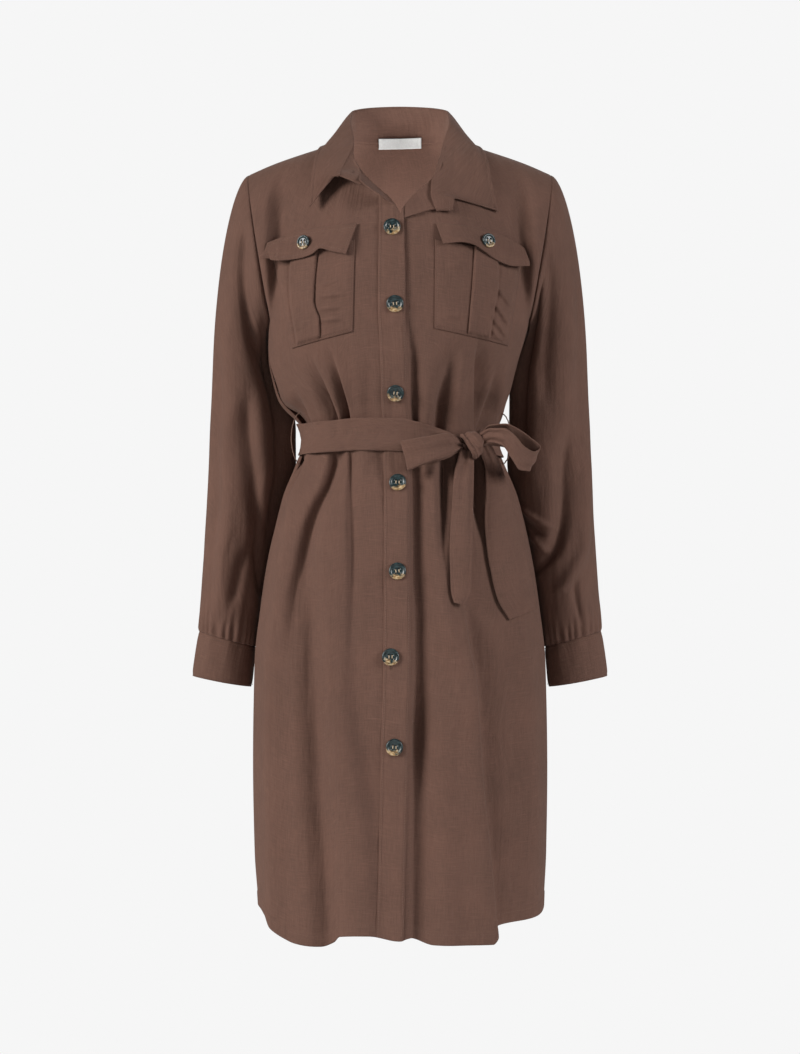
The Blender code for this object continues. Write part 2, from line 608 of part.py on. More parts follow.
def panel_rows():
    """v of each row of faces: closer together round the waist."""
    t = np.linspace(0.0, 1.0, 401)
    z = HEM[0].front_z + (CHEST_Z - HEM[0].front_z) * t
    run = np.cumsum(1.0 / (WAIST_STEP + STEP_GROWTH * np.abs(z - BELT_LINE[1].z)))
    run = (run - run[0]) / (run[-1] - run[0])
    low = np.interp(np.linspace(0.0, 1.0, ROWS_BELOW_CHEST + 1), run, t)
    high = 1.0 + np.linspace(0.0, 1.0, ROWS_ABOVE_CHEST + 1)[1:]
    return np.concatenate([low, high])


def front_edge_share(z, offset):
    """Share of the line that runs offset to the side of the top band's right-hand edge."""
    height = np.minimum(z, CHEST_Z)
    return share_at(column(PLACKET_EDGE, "z", "x", height) + offset, height)


def panel_heights(v):
    low = hem_z("front", 0.0)
    return low + (CHEST_Z - low) * np.minimum(v, 1.0)


def front_panel(side):
    """side is +1 for the wearer's left. Both panels start under the top band."""
    v = panel_rows()
    z = panel_heights(v)
    offset = -0.0020 + SEAM_GAP if side > 0 else 0.0030 - PLACKET_WIDTH
    start = side * front_edge_share(z, offset)
    steps = np.linspace(0.0, 1.0, FRONT_COLUMNS + 1)
    share = side * (start[:, None] + (1.0 - start[:, None]) * steps[None, :])
    grid = body("front", share, np.broadcast_to(v[:, None], share.shape))
    return inset(inset(grid, SEAM_GAP, "n"), SEAM_GAP / 2, "e")


def back_panel():
    v = panel_rows()
    share = np.linspace(-1.0, 1.0, BACK_COLUMNS + 1)[None, :] + np.zeros((len(v), 1))
    grid = body("back", share, np.broadcast_to(v[:, None], share.shape))
    return inset(inset(grid, SEAM_GAP, "n"), SEAM_GAP / 2, "ew")


def band(left, right, out, columns=2):
    """A strip down the front between two lines beside the top band's right-hand edge."""
    v = panel_rows()
    z = panel_heights(v)
    first, last = front_edge_share(z, left), front_edge_share(z, right)
    steps = np.linspace(0.0, 1.0, columns + 1)
    share = first[:, None] + (last - first)[:, None] * steps[None, :]
    return inset(body("front", share, np.broadcast_to(v[:, None], share.shape), out), SEAM_GAP, "n")


def build_panels(cloth, band_cloth):
    sheet_object("back", back_panel(), cloth)
    sheet_object("front_left", front_panel(1), cloth)
    sheet_object("front_right", front_panel(-1), cloth)
    sheet_object("placket_left", band(0.0055 - PLACKET_WIDTH, -0.0020, 0.0, 3), band_cloth)
    sheet_object("placket_right", band(-PLACKET_WIDTH, 0.0, BAND_OUT, 3), band_cloth)


def armhole():
    """The armhole's ring, from the shoulder's tip round the front, the underarm and the back."""
    t = 2.0 - np.linspace(0.0, 1.0, ROWS_ABOVE_CHEST + 1)
    front = base_surface("front", np.ones_like(t), t)
    back = base_surface("back", np.ones_like(t), t)
    return np.concatenate([front, back[-2:0:-1]])


def smooth_end(t):
    """Steps that get shorter towards the end."""
    return t * (1.35 - 0.35 * t)


def sleeve(side):
    """Rings from the armhole down to the cuff."""
    top = armhole()
    count = len(top)
    angle = np.arange(count) * 2 * math.pi / count
    heights = [SLEEVES[0].z] + list(
        SLEEVES[0].z + (SLEEVES[-1].z - SLEEVES[0].z) * smooth_end(np.arange(1, SLEEVE_ROWS + 1) / SLEEVE_ROWS)
    )
    inner_name = "inner_left" if side > 0 else "inner_right"
    rings = []
    for z in heights:
        outer = column(SLEEVES, "z", "outer", z)
        inner = column(SLEEVES, "z", inner_name, z)
        deep = column(SLEEVES, "z", "half_depth", z)
        middle = column(SLEEVES, "z", "y_middle", z)
        done = (SLEEVES[0].z - z) / (SLEEVES[0].z - SLEEVES[-1].z)
        half = (outer - inner) / 2
        tilt = SLEEVE_TILT * done * done * np.cos(angle)
        rings.append(
            stack(
                (outer + inner) / 2 + half * np.cos(angle),
                middle - deep * np.sin(angle),
                z + tilt,
            )
        )
    below = np.array(rings)
    leave = unit(
        stack(
            0.42 + 0.30 * np.cos(angle),
            -0.10 * np.sin(angle),
            -0.62 + 0.05 * np.cos(angle) + 0.12 * np.cos(angle) ** 2,
        )
    )
    reach = np.linalg.norm(below[0] - top, axis=-1, keepdims=True)
    arrive = unit(below[1] - below[0])
    first = top + leave * reach * (0.10 + 0.14 * (1 - np.cos(angle)) / 2)[:, None]
    last = below[0] - arrive * reach * 0.50
    cap = [
        bezier(top, first, last, below[0], np.full(count, t))
        for t in np.linspace(0.0, 1.0, SLEEVE_CAP_ROWS + 1)[:-1]
    ]
    grid = np.concatenate([np.array(cap), below])
    grid = fold_sleeve(grid, angle, side)
    beside = smooth_step((1.0 - np.cos(angle)) / 2)[:, None]
    outward = np.array([LAYER * 1.1, 0.0, 0.0])
    grid[0] = top + unit(grid[1] - top) * (3.0 * SEAM_GAP) + outward * beside
    grid[1] += outward * beside
    grid[-1] += unit(grid[-2] - grid[-1]) * (2.0 * SEAM_GAP)
    return grid * np.array([side, 1.0, 1.0])


def fold_sleeve(grid, angle, side):
    middle = grid.mean(axis=1, keepdims=True)
    outward = unit((grid - middle) * np.array([1.0, 1.0, 0.0]))
    z = grid[..., 2]
    degrees = np.degrees(angle)[None, :] + np.zeros_like(z)
    height = np.zeros_like(z)
    for fold in SLEEVE_FOLDS:
        if fold.side != side:
            continue
        t = (fold.z_top - z) / (fold.z_top - fold.z_foot)
        line = fold.angle_top + (fold.angle_foot - fold.angle_top) * t
        off = (degrees - line + 180.0) % 360.0 - 180.0
        ends = smooth_step(t / 0.3) * smooth_step((1.0 - t) / 0.3)
        height += fold.depth * ends * np.exp(-((off / fold.spread) ** 2))
    rise = (z - SLEEVES[-1].z) / SLEEVE_GATHER_RISE
    wave = np.cos(SLEEVE_GATHERS * angle)[None, :]
    near_cuff = (1.0 - smooth_step(rise)) * smooth_step(0.15 + rise * 3.0)
    height += SLEEVE_GATHER_DEPTH * near_cuff * wave
    return grid + outward * height[..., None]


def cuff(side):
    top = 26
    angle = np.arange(top) * 2 * math.pi / top
    grid = []
    for row in CUFFS:
        middle, half = (row.outer + row.inner) / 2, (row.outer - row.inner) / 2
        grid.append(
            stack(
                middle + half * np.cos(angle),
                SLEEVES[-1].y_middle - row.half_depth * np.sin(angle),
                (row.outer_z + row.inner_z) / 2 + (row.outer_z - row.inner_z) / 2 * np.cos(angle),
            )
        )
    return np.array(grid) * np.array([side, 1.0, 1.0])


def build_sleeves(cloth):
    for name, side in (("left", 1), ("right", -1)):
        sheet_object("sleeve_" + name, sleeve(side), cloth, closed=True)
        sheet_object("cuff_" + name, cuff(side), cloth, closed=True)


def placed(spot, side):
    """A collar table's place on one side of the garment, in all three directions."""
    if isinstance(spot, Over):
        share, v = find("front", side * spot.x, spot.z)
        return np.array([side * spot.x, body("front", share, v)[1] - spot.clear, spot.z])
    return np.array(spot) * np.array([side, 1.0, 1.0])


def collar_rows():
    """Seam, roll, edge and lift from the wearer's right front round the back to the left front."""
    right = [(row, -1) for row in reversed(COLLAR_BACK[1:] + COLLAR_RIGHT)]
    left = [(row, 1) for row in COLLAR_BACK + COLLAR_LEFT]
    rows = right + left
    lines = [np.array([placed(getattr(row, name), side) for row, side in rows]) for name in ("seam", "roll", "edge")]
    return lines, np.array([row.lift for row, _ in rows])


def collar_lines():
    """The collar's lines and lift, sampled evenly along the roll."""
    lines, lifts = collar_rows()
    steps = np.linalg.norm(np.diff(lines[1], axis=0), axis=1)
    run = np.concatenate([[0.0], np.cumsum(steps)])
    at = np.linspace(0.0, run[-1], COLLAR_COLUMNS + 1)
    sampled = [stack(*(through(run, line[:, k], at) for k in range(3))) for line in lines]
    return sampled, through(run, lifts, at)


def collar_sections(count=41):
    """Points from the seam up to the roll and down to the outer edge, and their distance along it."""
    (seam, roll, edge), lift = collar_lines()
    outward = unit((edge - seam) * np.array([1.0, 1.0, 0.0]))
    rows = []
    for t in np.linspace(0.0, 2.0, count):
        swell = (lift * math.sin(math.pi * (t % 1.0)))[:, None]
        if t <= 1.0:
            rows.append(seam + (roll - seam) * t - outward * swell * 0.4)
        else:
            proud = outward * 0.8 + np.array([0.0, 0.0, 0.5])
            rows.append(roll + (edge - roll) * (t - 1.0) + proud * swell)
    rows = np.array(rows)
    for _ in range(3):
        rows[1:-1] = (rows[:-2] + 2 * rows[1:-1] + rows[2:]) / 4
    steps = np.linalg.norm(np.diff(rows, axis=0), axis=2)
    run = np.concatenate([np.zeros((1, rows.shape[1])), np.cumsum(steps, axis=0)])
    return rows, run


def clear_of_body(points, clearance):
    """Moves out the points that lie nearer to the fronts or the back than the clearance."""
    share, v = np.meshgrid(np.linspace(-1.0, 1.0, 121), np.linspace(1.35, 2.0, 56))
    cloth, out, edge = [], [], []
    for face in ("front", "back"):
        cloth.append(body(face, share, v).reshape(-1, 3))
        out.append(normals(face, share, v).reshape(-1, 3))
        edge.append(((v > 1.999) & (np.abs(share) < 0.335)).reshape(-1))
    cloth, out, edge = np.concatenate(cloth), np.concatenate(out), np.concatenate(edge)
    moved = points.reshape(-1, 3).copy()
    for _ in range(2):
        for i, point in enumerate(moved):
            near = np.argmin(((cloth - point) ** 2).sum(axis=1))
            height = (point - cloth[near]) @ out[near]
            if height < clearance and not edge[near]:
                moved[i] = point + out[near] * (clearance - height)
    return moved.reshape(points.shape)


def cut_section(rows, run, start, stop, steps):
    """The stretch of each section between two distances from the seam, at the given steps from 0 to 1."""
    grid = np.empty((len(steps), rows.shape[1], 3))
    for j in range(rows.shape[1]):
        at = start + (stop[j] - start) * steps
        for k in range(3):
            grid[:, j, k] = np.interp(at, run[:, j], rows[:, j, k])
    return grid


def build_collar(cloth):
    rows, run = collar_sections()
    whole = run[-1]
    stand = cut_section(rows, run, 2 * SEAM_GAP, np.minimum(STAND_HEIGHT, whole), np.array(STAND_STEPS))
    sheet_object("collar_stand", clear_of_body(stand, 2.0 * LAYER), cloth)
    wide = np.nonzero(whole > STAND_HEIGHT + 0.012)[0]
    fall = cut_section(rows, run, STAND_HEIGHT + 3 * SEAM_GAP, whole, np.array(FALL_STEPS))
    fall = clear_of_body(fall[:, wide[0] : wide[-1] + 1], 2.0 * LAYER)
    sheet_object("collar_fall", fall, cloth)


def facing(cloth):
    """The top corner of the right front's facing, rolled outward along the neckline."""
    x = -np.linspace(0.0105, 0.0400, 5)
    top = np.interp(-x, [0.0085, 0.0270, 0.0405], [-0.0760, -0.0570, -0.0440])
    depth = 0.0015 + 0.0085 * smooth_step((-x - 0.008) / 0.028)
    rows = [on_body("front", x, top - depth * t, BAND_OUT + 1.2 * LAYER) for t in (1.0, 0.5, 0.0)]
    sheet_object("facing_right", np.array(rows), cloth)


def quad_patch(corners, across, along):
    """x and z of a grid between four corners: top inner, top outer, foot outer, foot inner."""
    top_in, top_out, foot_out, foot_in = (np.array(c) for c in corners)
    u, w = np.meshgrid(across, along)
    u, w = u[..., None], w[..., None]
    return (1 - w) * ((1 - u) * foot_in + u * foot_out) + w * ((1 - u) * top_in + u * top_out)


def pocket(corners):
    a, b = PLEAT_SHARES
    soft = 0.035
    across = np.array([0.0, a / 3, a * 2 / 3, a - soft, a, (a + b) / 2, b, b + soft, (1 + b) / 2, 1.0])
    raised = np.array([0, 0, 0, 0, 1, 1, 1, 0, 0, 0]) * PLEAT_RISE
    places = quad_patch(corners, across, np.linspace(0.0, 1.0, 8))
    out = POCKET_OUT + raised[None, :] + np.zeros(places.shape[:2])
    return on_body("front", places[..., 0], places[..., 1], out)


def flap(points):
    """The flap lies on its pocket and stands off it towards its foot."""
    xs = np.linspace(points[0].x, points[-1].x, 10)
    top = column(points, "x", "top_z", xs)
    foot = column(points, "x", "foot_z", xs)
    grid = []
    for i, out in enumerate(reversed(FLAP_OUT)):
        t = 1.0 - i / (len(FLAP_OUT) - 1)
        grid.append(on_body("front", xs, top + (foot - top) * t, out))
    return np.array(grid)


def build_pockets(cloth):
    sheet_object("pocket_left", pocket(POCKET_LEFT), cloth)
    sheet_object("pocket_right", pocket(POCKET_RIGHT), cloth)
    sheet_object("flap_left", flap(FLAP_LEFT), cloth)
    sheet_object("flap_right", flap(FLAP_RIGHT), cloth)


def belt_middle(x):
    return through([row.x for row in BELT_LINE], [row.z for row in BELT_LINE], x)


def belt_radii(angles, part):
    """How far the cloth and the bands reach out under one part of the belt's height, at each angle."""
    heights = np.linspace(part - 0.3, part + 0.3, 5) * BELT_WIDTH
    reach = np.zeros_like(angles)
    share = np.linspace(-1.0, 1.0, 181)
    v = panel_rows()[:, None]
    middle = belt_middle(section(share * math.pi / 2.0, BELT_LINE[1].z)[:, 0])
    for face in ("front", "back"):
        flat = body(face, share, v)
        edge = column(PLACKET_EDGE, "z", "x", np.minimum(flat[..., 2], CHEST_Z))
        on_band = (flat[..., 0] > edge - PLACKET_WIDTH - 0.004) & (flat[..., 0] < edge + 0.004)
        rows = body(face, share, v, np.where(on_band & (face == "front"), BAND_OUT, 0.0))
        points = np.array([
            [np.interp(middle[j] + heights, rows[:, j, 2], rows[:, j, k]) for k in range(2)]
            for j in range(len(share))
        ])
        where = np.arctan2(points[:, 0], -points[:, 1])
        size = np.hypot(points[:, 0], points[:, 1])
        for i, angle in enumerate(angles):
            off = np.abs((where - angle + math.pi) % (2 * math.pi) - math.pi)
            near = size[off < BELT_SPAN]
            if near.size:
                reach[i] = max(reach[i], near.max())
    return reach


def build_belt_band(cloth):
    angle = np.arange(BELT_COLUMNS) * 2 * math.pi / BELT_COLUMNS
    grid = []
    for part in (-0.5, 0.0, 0.5):
        bare = belt_radii(angle, part) + LAYER
        even = (np.roll(bare, 1) + 2 * bare + np.roll(bare, -1)) / 4
        radius = np.maximum(even, bare) + BELT_EASE
        x, y = radius * np.sin(angle), -radius * np.cos(angle)
        grid.append(stack(x, y, belt_middle(x) + part * BELT_WIDTH))
    sheet_object("belt_band", np.array(grid), cloth, closed=True)


def ribbon(rows, steps, columns=2):
    """A strip of cloth through rows of two edge points each."""
    data = np.array(rows, float)
    run = np.arange(len(rows))
    at = np.linspace(0, len(rows) - 1, steps)
    edges = stack(*(through(run, data[:, k], at) for k in range(6)))
    shares = np.linspace(0.0, 1.0, columns + 1)
    first, last = edges[:, :3], edges[:, 3:]
    return np.array([first + (last - first) * share for share in shares])


def tail(rows):
    """A free end: it hangs out from the skirt by the clearances of its two edges."""
    at = np.linspace(0, len(rows) - 1, 12)
    x1, z1, x2, z2, clear1, clear2 = (through(range(len(rows)), [r[k] for r in rows], at) for k in range(6))
    grid = []
    for share in np.linspace(0.0, 1.0, 4):
        x, z = x1 + (x2 - x1) * share, z1 + (z2 - z1) * share
        grid.append(on_body("front", x, z, clear1 + (clear2 - clear1) * share))
    return np.array(grid)


def knot_object(cloth):
    """A firm lump, narrower at its foot, with its wraps as flats."""
    mesh = bpy.data.meshes.new("belt_knot")
    shape = bmesh.new()
    bmesh.ops.create_uvsphere(shape, u_segments=12, v_segments=8, radius=0.5)
    for vert in shape.verts:
        taper = 1.0 + 0.25 * vert.co.z
        vert.co.x *= KNOT_SIZE[0] * taper
        vert.co.y *= KNOT_SIZE[1]
        vert.co.z *= KNOT_SIZE[2]
    shape.to_mesh(mesh)
    shape.free()
    mesh.shade_smooth()
    item = make_object("belt_knot", mesh, cloth)
    item.location = KNOT_CENTRE
    item.rotation_euler = (0.0, math.radians(-18), math.radians(20))


def carrier(side, cloth):
    """A thread loop beside the side seam that stands out over the belt."""
    curve = bpy.data.curves.new("carrier", "CURVE")
    curve.dimensions = "3D"
    curve.bevel_depth = 0.0011
    curve.bevel_resolution = 1
    curve.use_fill_caps = True
    spline = curve.splines.new("POLY")
    points = []
    for t in np.linspace(0.0, 1.0, 9):
        z = CARRIER_Z + CARRIER_HALF * (1 - 2 * t)
        root = body("front", side * CARRIER_SHARE, (z - HEM[-1].front_z) / (CHEST_Z - HEM[-1].front_z), CARRIER_OUT[side])
        reach = CARRIER_REACH * math.sin(math.pi * t) ** 0.4
        points.append((root[0] + side * reach, root[1] - 0.3 * reach, z))
    spline.points.add(len(points) - 1)
    for target, point in zip(spline.points, points):
        target.co = (*point, 1.0)
    name = "belt_carrier_left" if side > 0 else "belt_carrier_right"
    item = bpy.data.objects.new(name, curve)
    curve.materials.append(cloth)
    DRESS.objects.link(item)
    item.parent = HOLDER


def build_belt(cloth):
    build_belt_band(cloth)
    knot_object(cloth)
    sheet_object("bow_loop_right", ribbon(BOW_LOOP_RIGHT, 18), cloth)
    sheet_object("bow_loop_left", ribbon(BOW_LOOP_LEFT, 18), cloth)
    sheet_object("belt_tail_right", tail(TAIL_RIGHT), cloth)
    sheet_object("belt_tail_left", tail(TAIL_LEFT), cloth)
    carrier(1, cloth)
    carrier(-1, cloth)


def button_mesh(name, radius, thickness):
    """A turned disc with a rounded rim round a dished face."""
    rim = 0.78 * radius
    profile = (
        (0.0, 0.62 * thickness),
        (0.66 * radius, 0.62 * thickness),
        (rim, thickness),
        (0.94 * radius, 0.90 * thickness),
        (radius, 0.50 * thickness),
        (0.86 * radius, 0.0),
        (0.0, 0.0),
    )
    mesh = bpy.data.meshes.new(name)
    mesh.from_pydata([(x, 0.0, z) for x, z in profile], [(i, i + 1) for i in range(len(profile) - 1)], [])
    return mesh


def button(name, centre, outward, radius, material):
    item = make_object(name, button_mesh(name, radius, BUTTON_THICKNESS), material)
    turn = item.modifiers.new("Turn", "SCREW")
    turn.steps = 10
    turn.render_steps = 10
    turn.use_merge_vertices = True
    turn.merge_threshold = 0.00005
    turn.use_normal_calculate = True
    item.location = centre
    up = unit(np.array(outward))
    item.rotation_euler = (math.acos(up[2]), 0.0, math.atan2(up[0], -up[1]))


def surface_frame(x, z, out):
    """A point over the front and the direction out of the cloth there."""
    share, v = find("front", x, z)
    share, v = float(share), float(v)
    around = 0.02
    left = on_body("front", x - around / 2, z, out)
    right = on_body("front", x + around / 2, z, out)
    above = on_body("front", x, z + around / 2, out)
    under = on_body("front", x, z - around / 2, out)
    outward = unit(np.cross(right - left, above - under))
    return (left + right + above + under) / 4, outward


def build_buttons(material):
    for number, z in enumerate(BUTTON_HEIGHTS, 1):
        x = column(PLACKET_EDGE, "z", "x", min(z, CHEST_Z)) - PLACKET_WIDTH / 2 + 0.003
        centre, outward = surface_frame(float(x), z, BAND_OUT + LAYER / 2 + 2 * SEAM_GAP)
        button(f"button_{number}", centre, outward, BUTTON_RADIUS, material)
    for row in POCKET_BUTTONS:
        centre, outward = surface_frame(row.x, row.z, FLAP_OUT[2] + LAYER / 2 + 2 * SEAM_GAP)
        button(row.name, centre, outward, POCKET_BUTTON_RADIUS, material)
    for name, side in (("left", 1), ("right", -1)):
        middle = CUFFS[1]
        angle = math.radians(285)
        half = (middle.outer - middle.inner) / 2
        out = np.array([math.cos(angle) / half, -math.sin(angle) / middle.half_depth, 0.0])
        out = unit(out) * np.array([side, 1.0, 1.0])
        centre = np.array([
            side * ((middle.outer + middle.inner) / 2 + half * math.cos(angle)),
            SLEEVES[-1].y_middle - middle.half_depth * math.sin(angle),
            (middle.outer_z + middle.inner_z) / 2,
        ])
        button("cuff_button_" + name, centre + out * (CLOTH / 2 + 3 * SEAM_GAP), out, CUFF_BUTTON_RADIUS, material)


def build_label(material):
    """A small woven tape sewn over the neck seam, inside the middle of the back."""
    x = np.linspace(-LABEL_WIDTH / 2, LABEL_WIDTH / 2, 7)
    back = column(BACK_TOP[:3], "x", "y", np.abs(x))
    grid = []
    for share in (-0.5, 0.5):
        z = LABEL_Z + share * LABEL_HEIGHT + 0 * x
        grid.append(stack(x, back - 0.0020 - 0.0006 * share, z))
    sheet_object("neck_label", np.array(grid), material, wall=0.0008)


clear_scene()
DRESS = make_collection("shirt_dress")
HOLDER = bpy.data.objects.new("shirt_dress", None)
DRESS.objects.link(HOLDER)

main_cloth = make_material("cloth", CLOTH_COLOUR, 0.85)
band_cloth = make_material("band_cloth", BAND_COLOUR, 0.85)
button_plastic = make_material("button_plastic", BUTTON_COLOUR, 0.25)
label_tape = make_material("label_tape", LABEL_COLOUR, 0.7)

build_panels(main_cloth, band_cloth)
build_sleeves(main_cloth)
build_collar(main_cloth)
facing(band_cloth)
build_pockets(main_cloth)
build_belt(main_cloth)
build_buttons(button_plastic)
build_label(label_tape)
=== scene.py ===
"""Shirt dress in brown slubby cloth, with its seams, stitching, buttons, belt and light.

Metres, +Z up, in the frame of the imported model. The front faces -Y, and +X is the wearer's left.
Every sheet of cloth is worked out from the garment's sections, as in its solids, and then gets its
creases, its turned edges and its weave.
"""

import math
import random
from collections import namedtuple

import bmesh
import bpy
import numpy as np
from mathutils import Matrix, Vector
from mathutils.kdtree import KDTree


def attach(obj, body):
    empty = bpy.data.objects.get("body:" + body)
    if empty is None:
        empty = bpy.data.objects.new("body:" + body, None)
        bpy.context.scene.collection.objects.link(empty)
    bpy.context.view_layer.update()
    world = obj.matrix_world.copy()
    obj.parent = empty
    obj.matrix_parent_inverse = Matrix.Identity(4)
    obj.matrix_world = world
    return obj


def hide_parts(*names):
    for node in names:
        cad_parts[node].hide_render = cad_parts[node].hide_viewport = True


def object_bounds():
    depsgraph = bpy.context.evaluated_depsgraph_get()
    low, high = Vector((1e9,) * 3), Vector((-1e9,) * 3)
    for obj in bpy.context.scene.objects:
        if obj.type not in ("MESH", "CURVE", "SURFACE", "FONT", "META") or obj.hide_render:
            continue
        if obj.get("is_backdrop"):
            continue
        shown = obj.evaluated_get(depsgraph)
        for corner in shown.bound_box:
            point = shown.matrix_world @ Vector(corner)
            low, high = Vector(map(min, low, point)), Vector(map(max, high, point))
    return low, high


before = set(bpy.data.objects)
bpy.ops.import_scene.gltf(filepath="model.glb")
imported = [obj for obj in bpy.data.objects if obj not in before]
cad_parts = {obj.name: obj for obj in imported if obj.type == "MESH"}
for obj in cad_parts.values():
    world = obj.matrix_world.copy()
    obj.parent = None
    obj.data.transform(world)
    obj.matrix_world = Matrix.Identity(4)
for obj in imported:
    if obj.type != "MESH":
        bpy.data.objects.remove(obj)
CAD_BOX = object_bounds()

# ---- Driving sizes ----

MM = 0.001
CLOTH = 0.0012  # thickness of one sheet of cloth
LAYER = 0.0015  # from one sheet's middle to that of the next sheet on it
CHEST_Z = -0.205  # height of the underarm, where the armholes start
SECTION_POWER = 2.2  # 2 is an ellipse, more is squarer
SIDES = {"left": 1, "right": -1}  # of the wearer
PLACKET_WIDTH = 0.031
BAND_OUT = LAYER + 0.0009  # the top band over the panels
BAND_EDGE_OUT = 0.0007  # the same at its sewn side
BAND_STITCH = 0.0022  # from the band's edges to their stitching
HEM_TURN = 0.0145  # height of the turned hem
HEM_STITCH = 0.0022  # from its upper edge down to its stitching
GROOVE = 0.0009  # width of the groove at a line of stitches

# Faces along and across the sheets
ROWS_IN_HEM = 16
ROWS_BELOW_CHEST = 150
ROWS_ABOVE_CHEST = 60
FRONT_COLUMNS = 180
BACK_COLUMNS = 150
ARMHOLE_STEPS = 60
CAP_ROWS = 26
SLEEVE_ROWS = 150
COLLAR_COLUMNS = 150
CUFF_COLUMNS = 170
BELT_ROWS = 18
BELT_COLUMNS = 300

# ---- Tables: one row for each section, fold or outline point ----


def rows(kind, *data):
    """A table whose rows are all of one kind."""
    return tuple(kind(*row) for row in data)


Section = namedtuple("Section", "z half_width front back")
SECTIONS = rows(
    Section,
    (-0.950, 0.166, 0.134, 0.128),
    (-0.900, 0.169, 0.133, 0.128),
    (-0.840, 0.1735, 0.132, 0.127),
    (-0.732, 0.1755, 0.130, 0.126),
    (-0.612, 0.1735, 0.125, 0.121),
    (-0.552, 0.1670, 0.121, 0.118),
    (-0.492, 0.1580, 0.115, 0.112),
    (-0.420, 0.1400, 0.103, 0.100),
    (-0.372, 0.1202, 0.092, 0.088),
    (-0.344, 0.1125, 0.088, 0.083),
    (-0.318, 0.1177, 0.092, 0.085),
    (-0.290, 0.1305, 0.100, 0.089),
    (-0.250, 0.1420, 0.108, 0.095),
    (-0.205, 0.1540, 0.112, 0.100),
    (-0.180, 0.1560, 0.113, 0.101),
)

# Hem height by share of the way from the middle to a side seam, -1 on the wearer's right: a shallow
# shirt tail that hangs unevenly in front
Hem = namedtuple("Hem", "share front_z back_z")
HEM = rows(
    Hem,
    (-1.00, -0.9020, -0.9020),
    (-0.85, -0.9035, -0.9080),
    (-0.72, -0.9090, -0.9190),
    (-0.66, -0.9230, -0.9240),
    (-0.50, -0.9380, -0.9330),
    (-0.37, -0.9405, -0.9380),
    (-0.30, -0.9350, -0.9385),
    (-0.26, -0.9275, -0.9385),
    (-0.12, -0.9240, -0.9370),
    (0.00, -0.9300, -0.9360),
    (0.03, -0.9272, -0.9360),
    (0.13, -0.9350, -0.9370),
    (0.40, -0.9362, -0.9385),
    (0.445, -0.9240, -0.9380),
    (0.47, -0.9170, -0.9380),
    (0.66, -0.9120, -0.9300),
    (0.85, -0.9060, -0.9110),
    (1.00, -0.9010, -0.9010),
)

# Upper edge of a front half: neckline, then shoulder seam. lean is how far the cloth tips back
# there, in degrees
Top = namedtuple("Top", "share x y z lean")
FRONT_TOP = rows(
    Top,
    (0.00, 0.0000, -0.0990, -0.0895, 14),
    (0.03, 0.0085, -0.0960, -0.0730, 16),
    (0.10, 0.0270, -0.0865, -0.0540, 22),
    (0.16, 0.0405, -0.0765, -0.0400, 28),
    (0.22, 0.0505, -0.0620, -0.0250, 38),
    (0.28, 0.0590, -0.0380, -0.0070, 55),
    (0.34, 0.0660, 0.0000, 0.0100, 84),
    (0.55, 0.1020, 0.0000, -0.0010, 84),
    (0.80, 0.1480, 0.0000, -0.0165, 82),
    (1.00, 0.1820, 0.0000, -0.0310, 80),
)
BACK_TOP = rows(
    Top,
    (0.00, 0.0000, 0.0600, 0.0145, 20),
    (0.18, 0.0340, 0.0555, 0.0150, 26),
    (0.28, 0.0560, 0.0350, 0.0145, 50),
    (0.34, 0.0660, 0.0000, 0.0100, 84),
    (0.55, 0.1020, 0.0000, -0.0010, 84),
    (0.80, 0.1480, 0.0000, -0.0165, 82),
    (1.00, 0.1820, 0.0000, -0.0310, 80),
)

# Right-hand edge of the top band, measured from the middle of the front
Edge = namedtuple("Edge", "z x")
PLACKET_EDGE = rows(
    Edge,
    (-0.950, 0.0030),
    (-0.850, 0.0060),
    (-0.700, 0.0096),
    (-0.600, 0.0120),
    (-0.420, 0.0122),
    (-0.300, 0.0095),
    (-0.205, 0.0060),
)

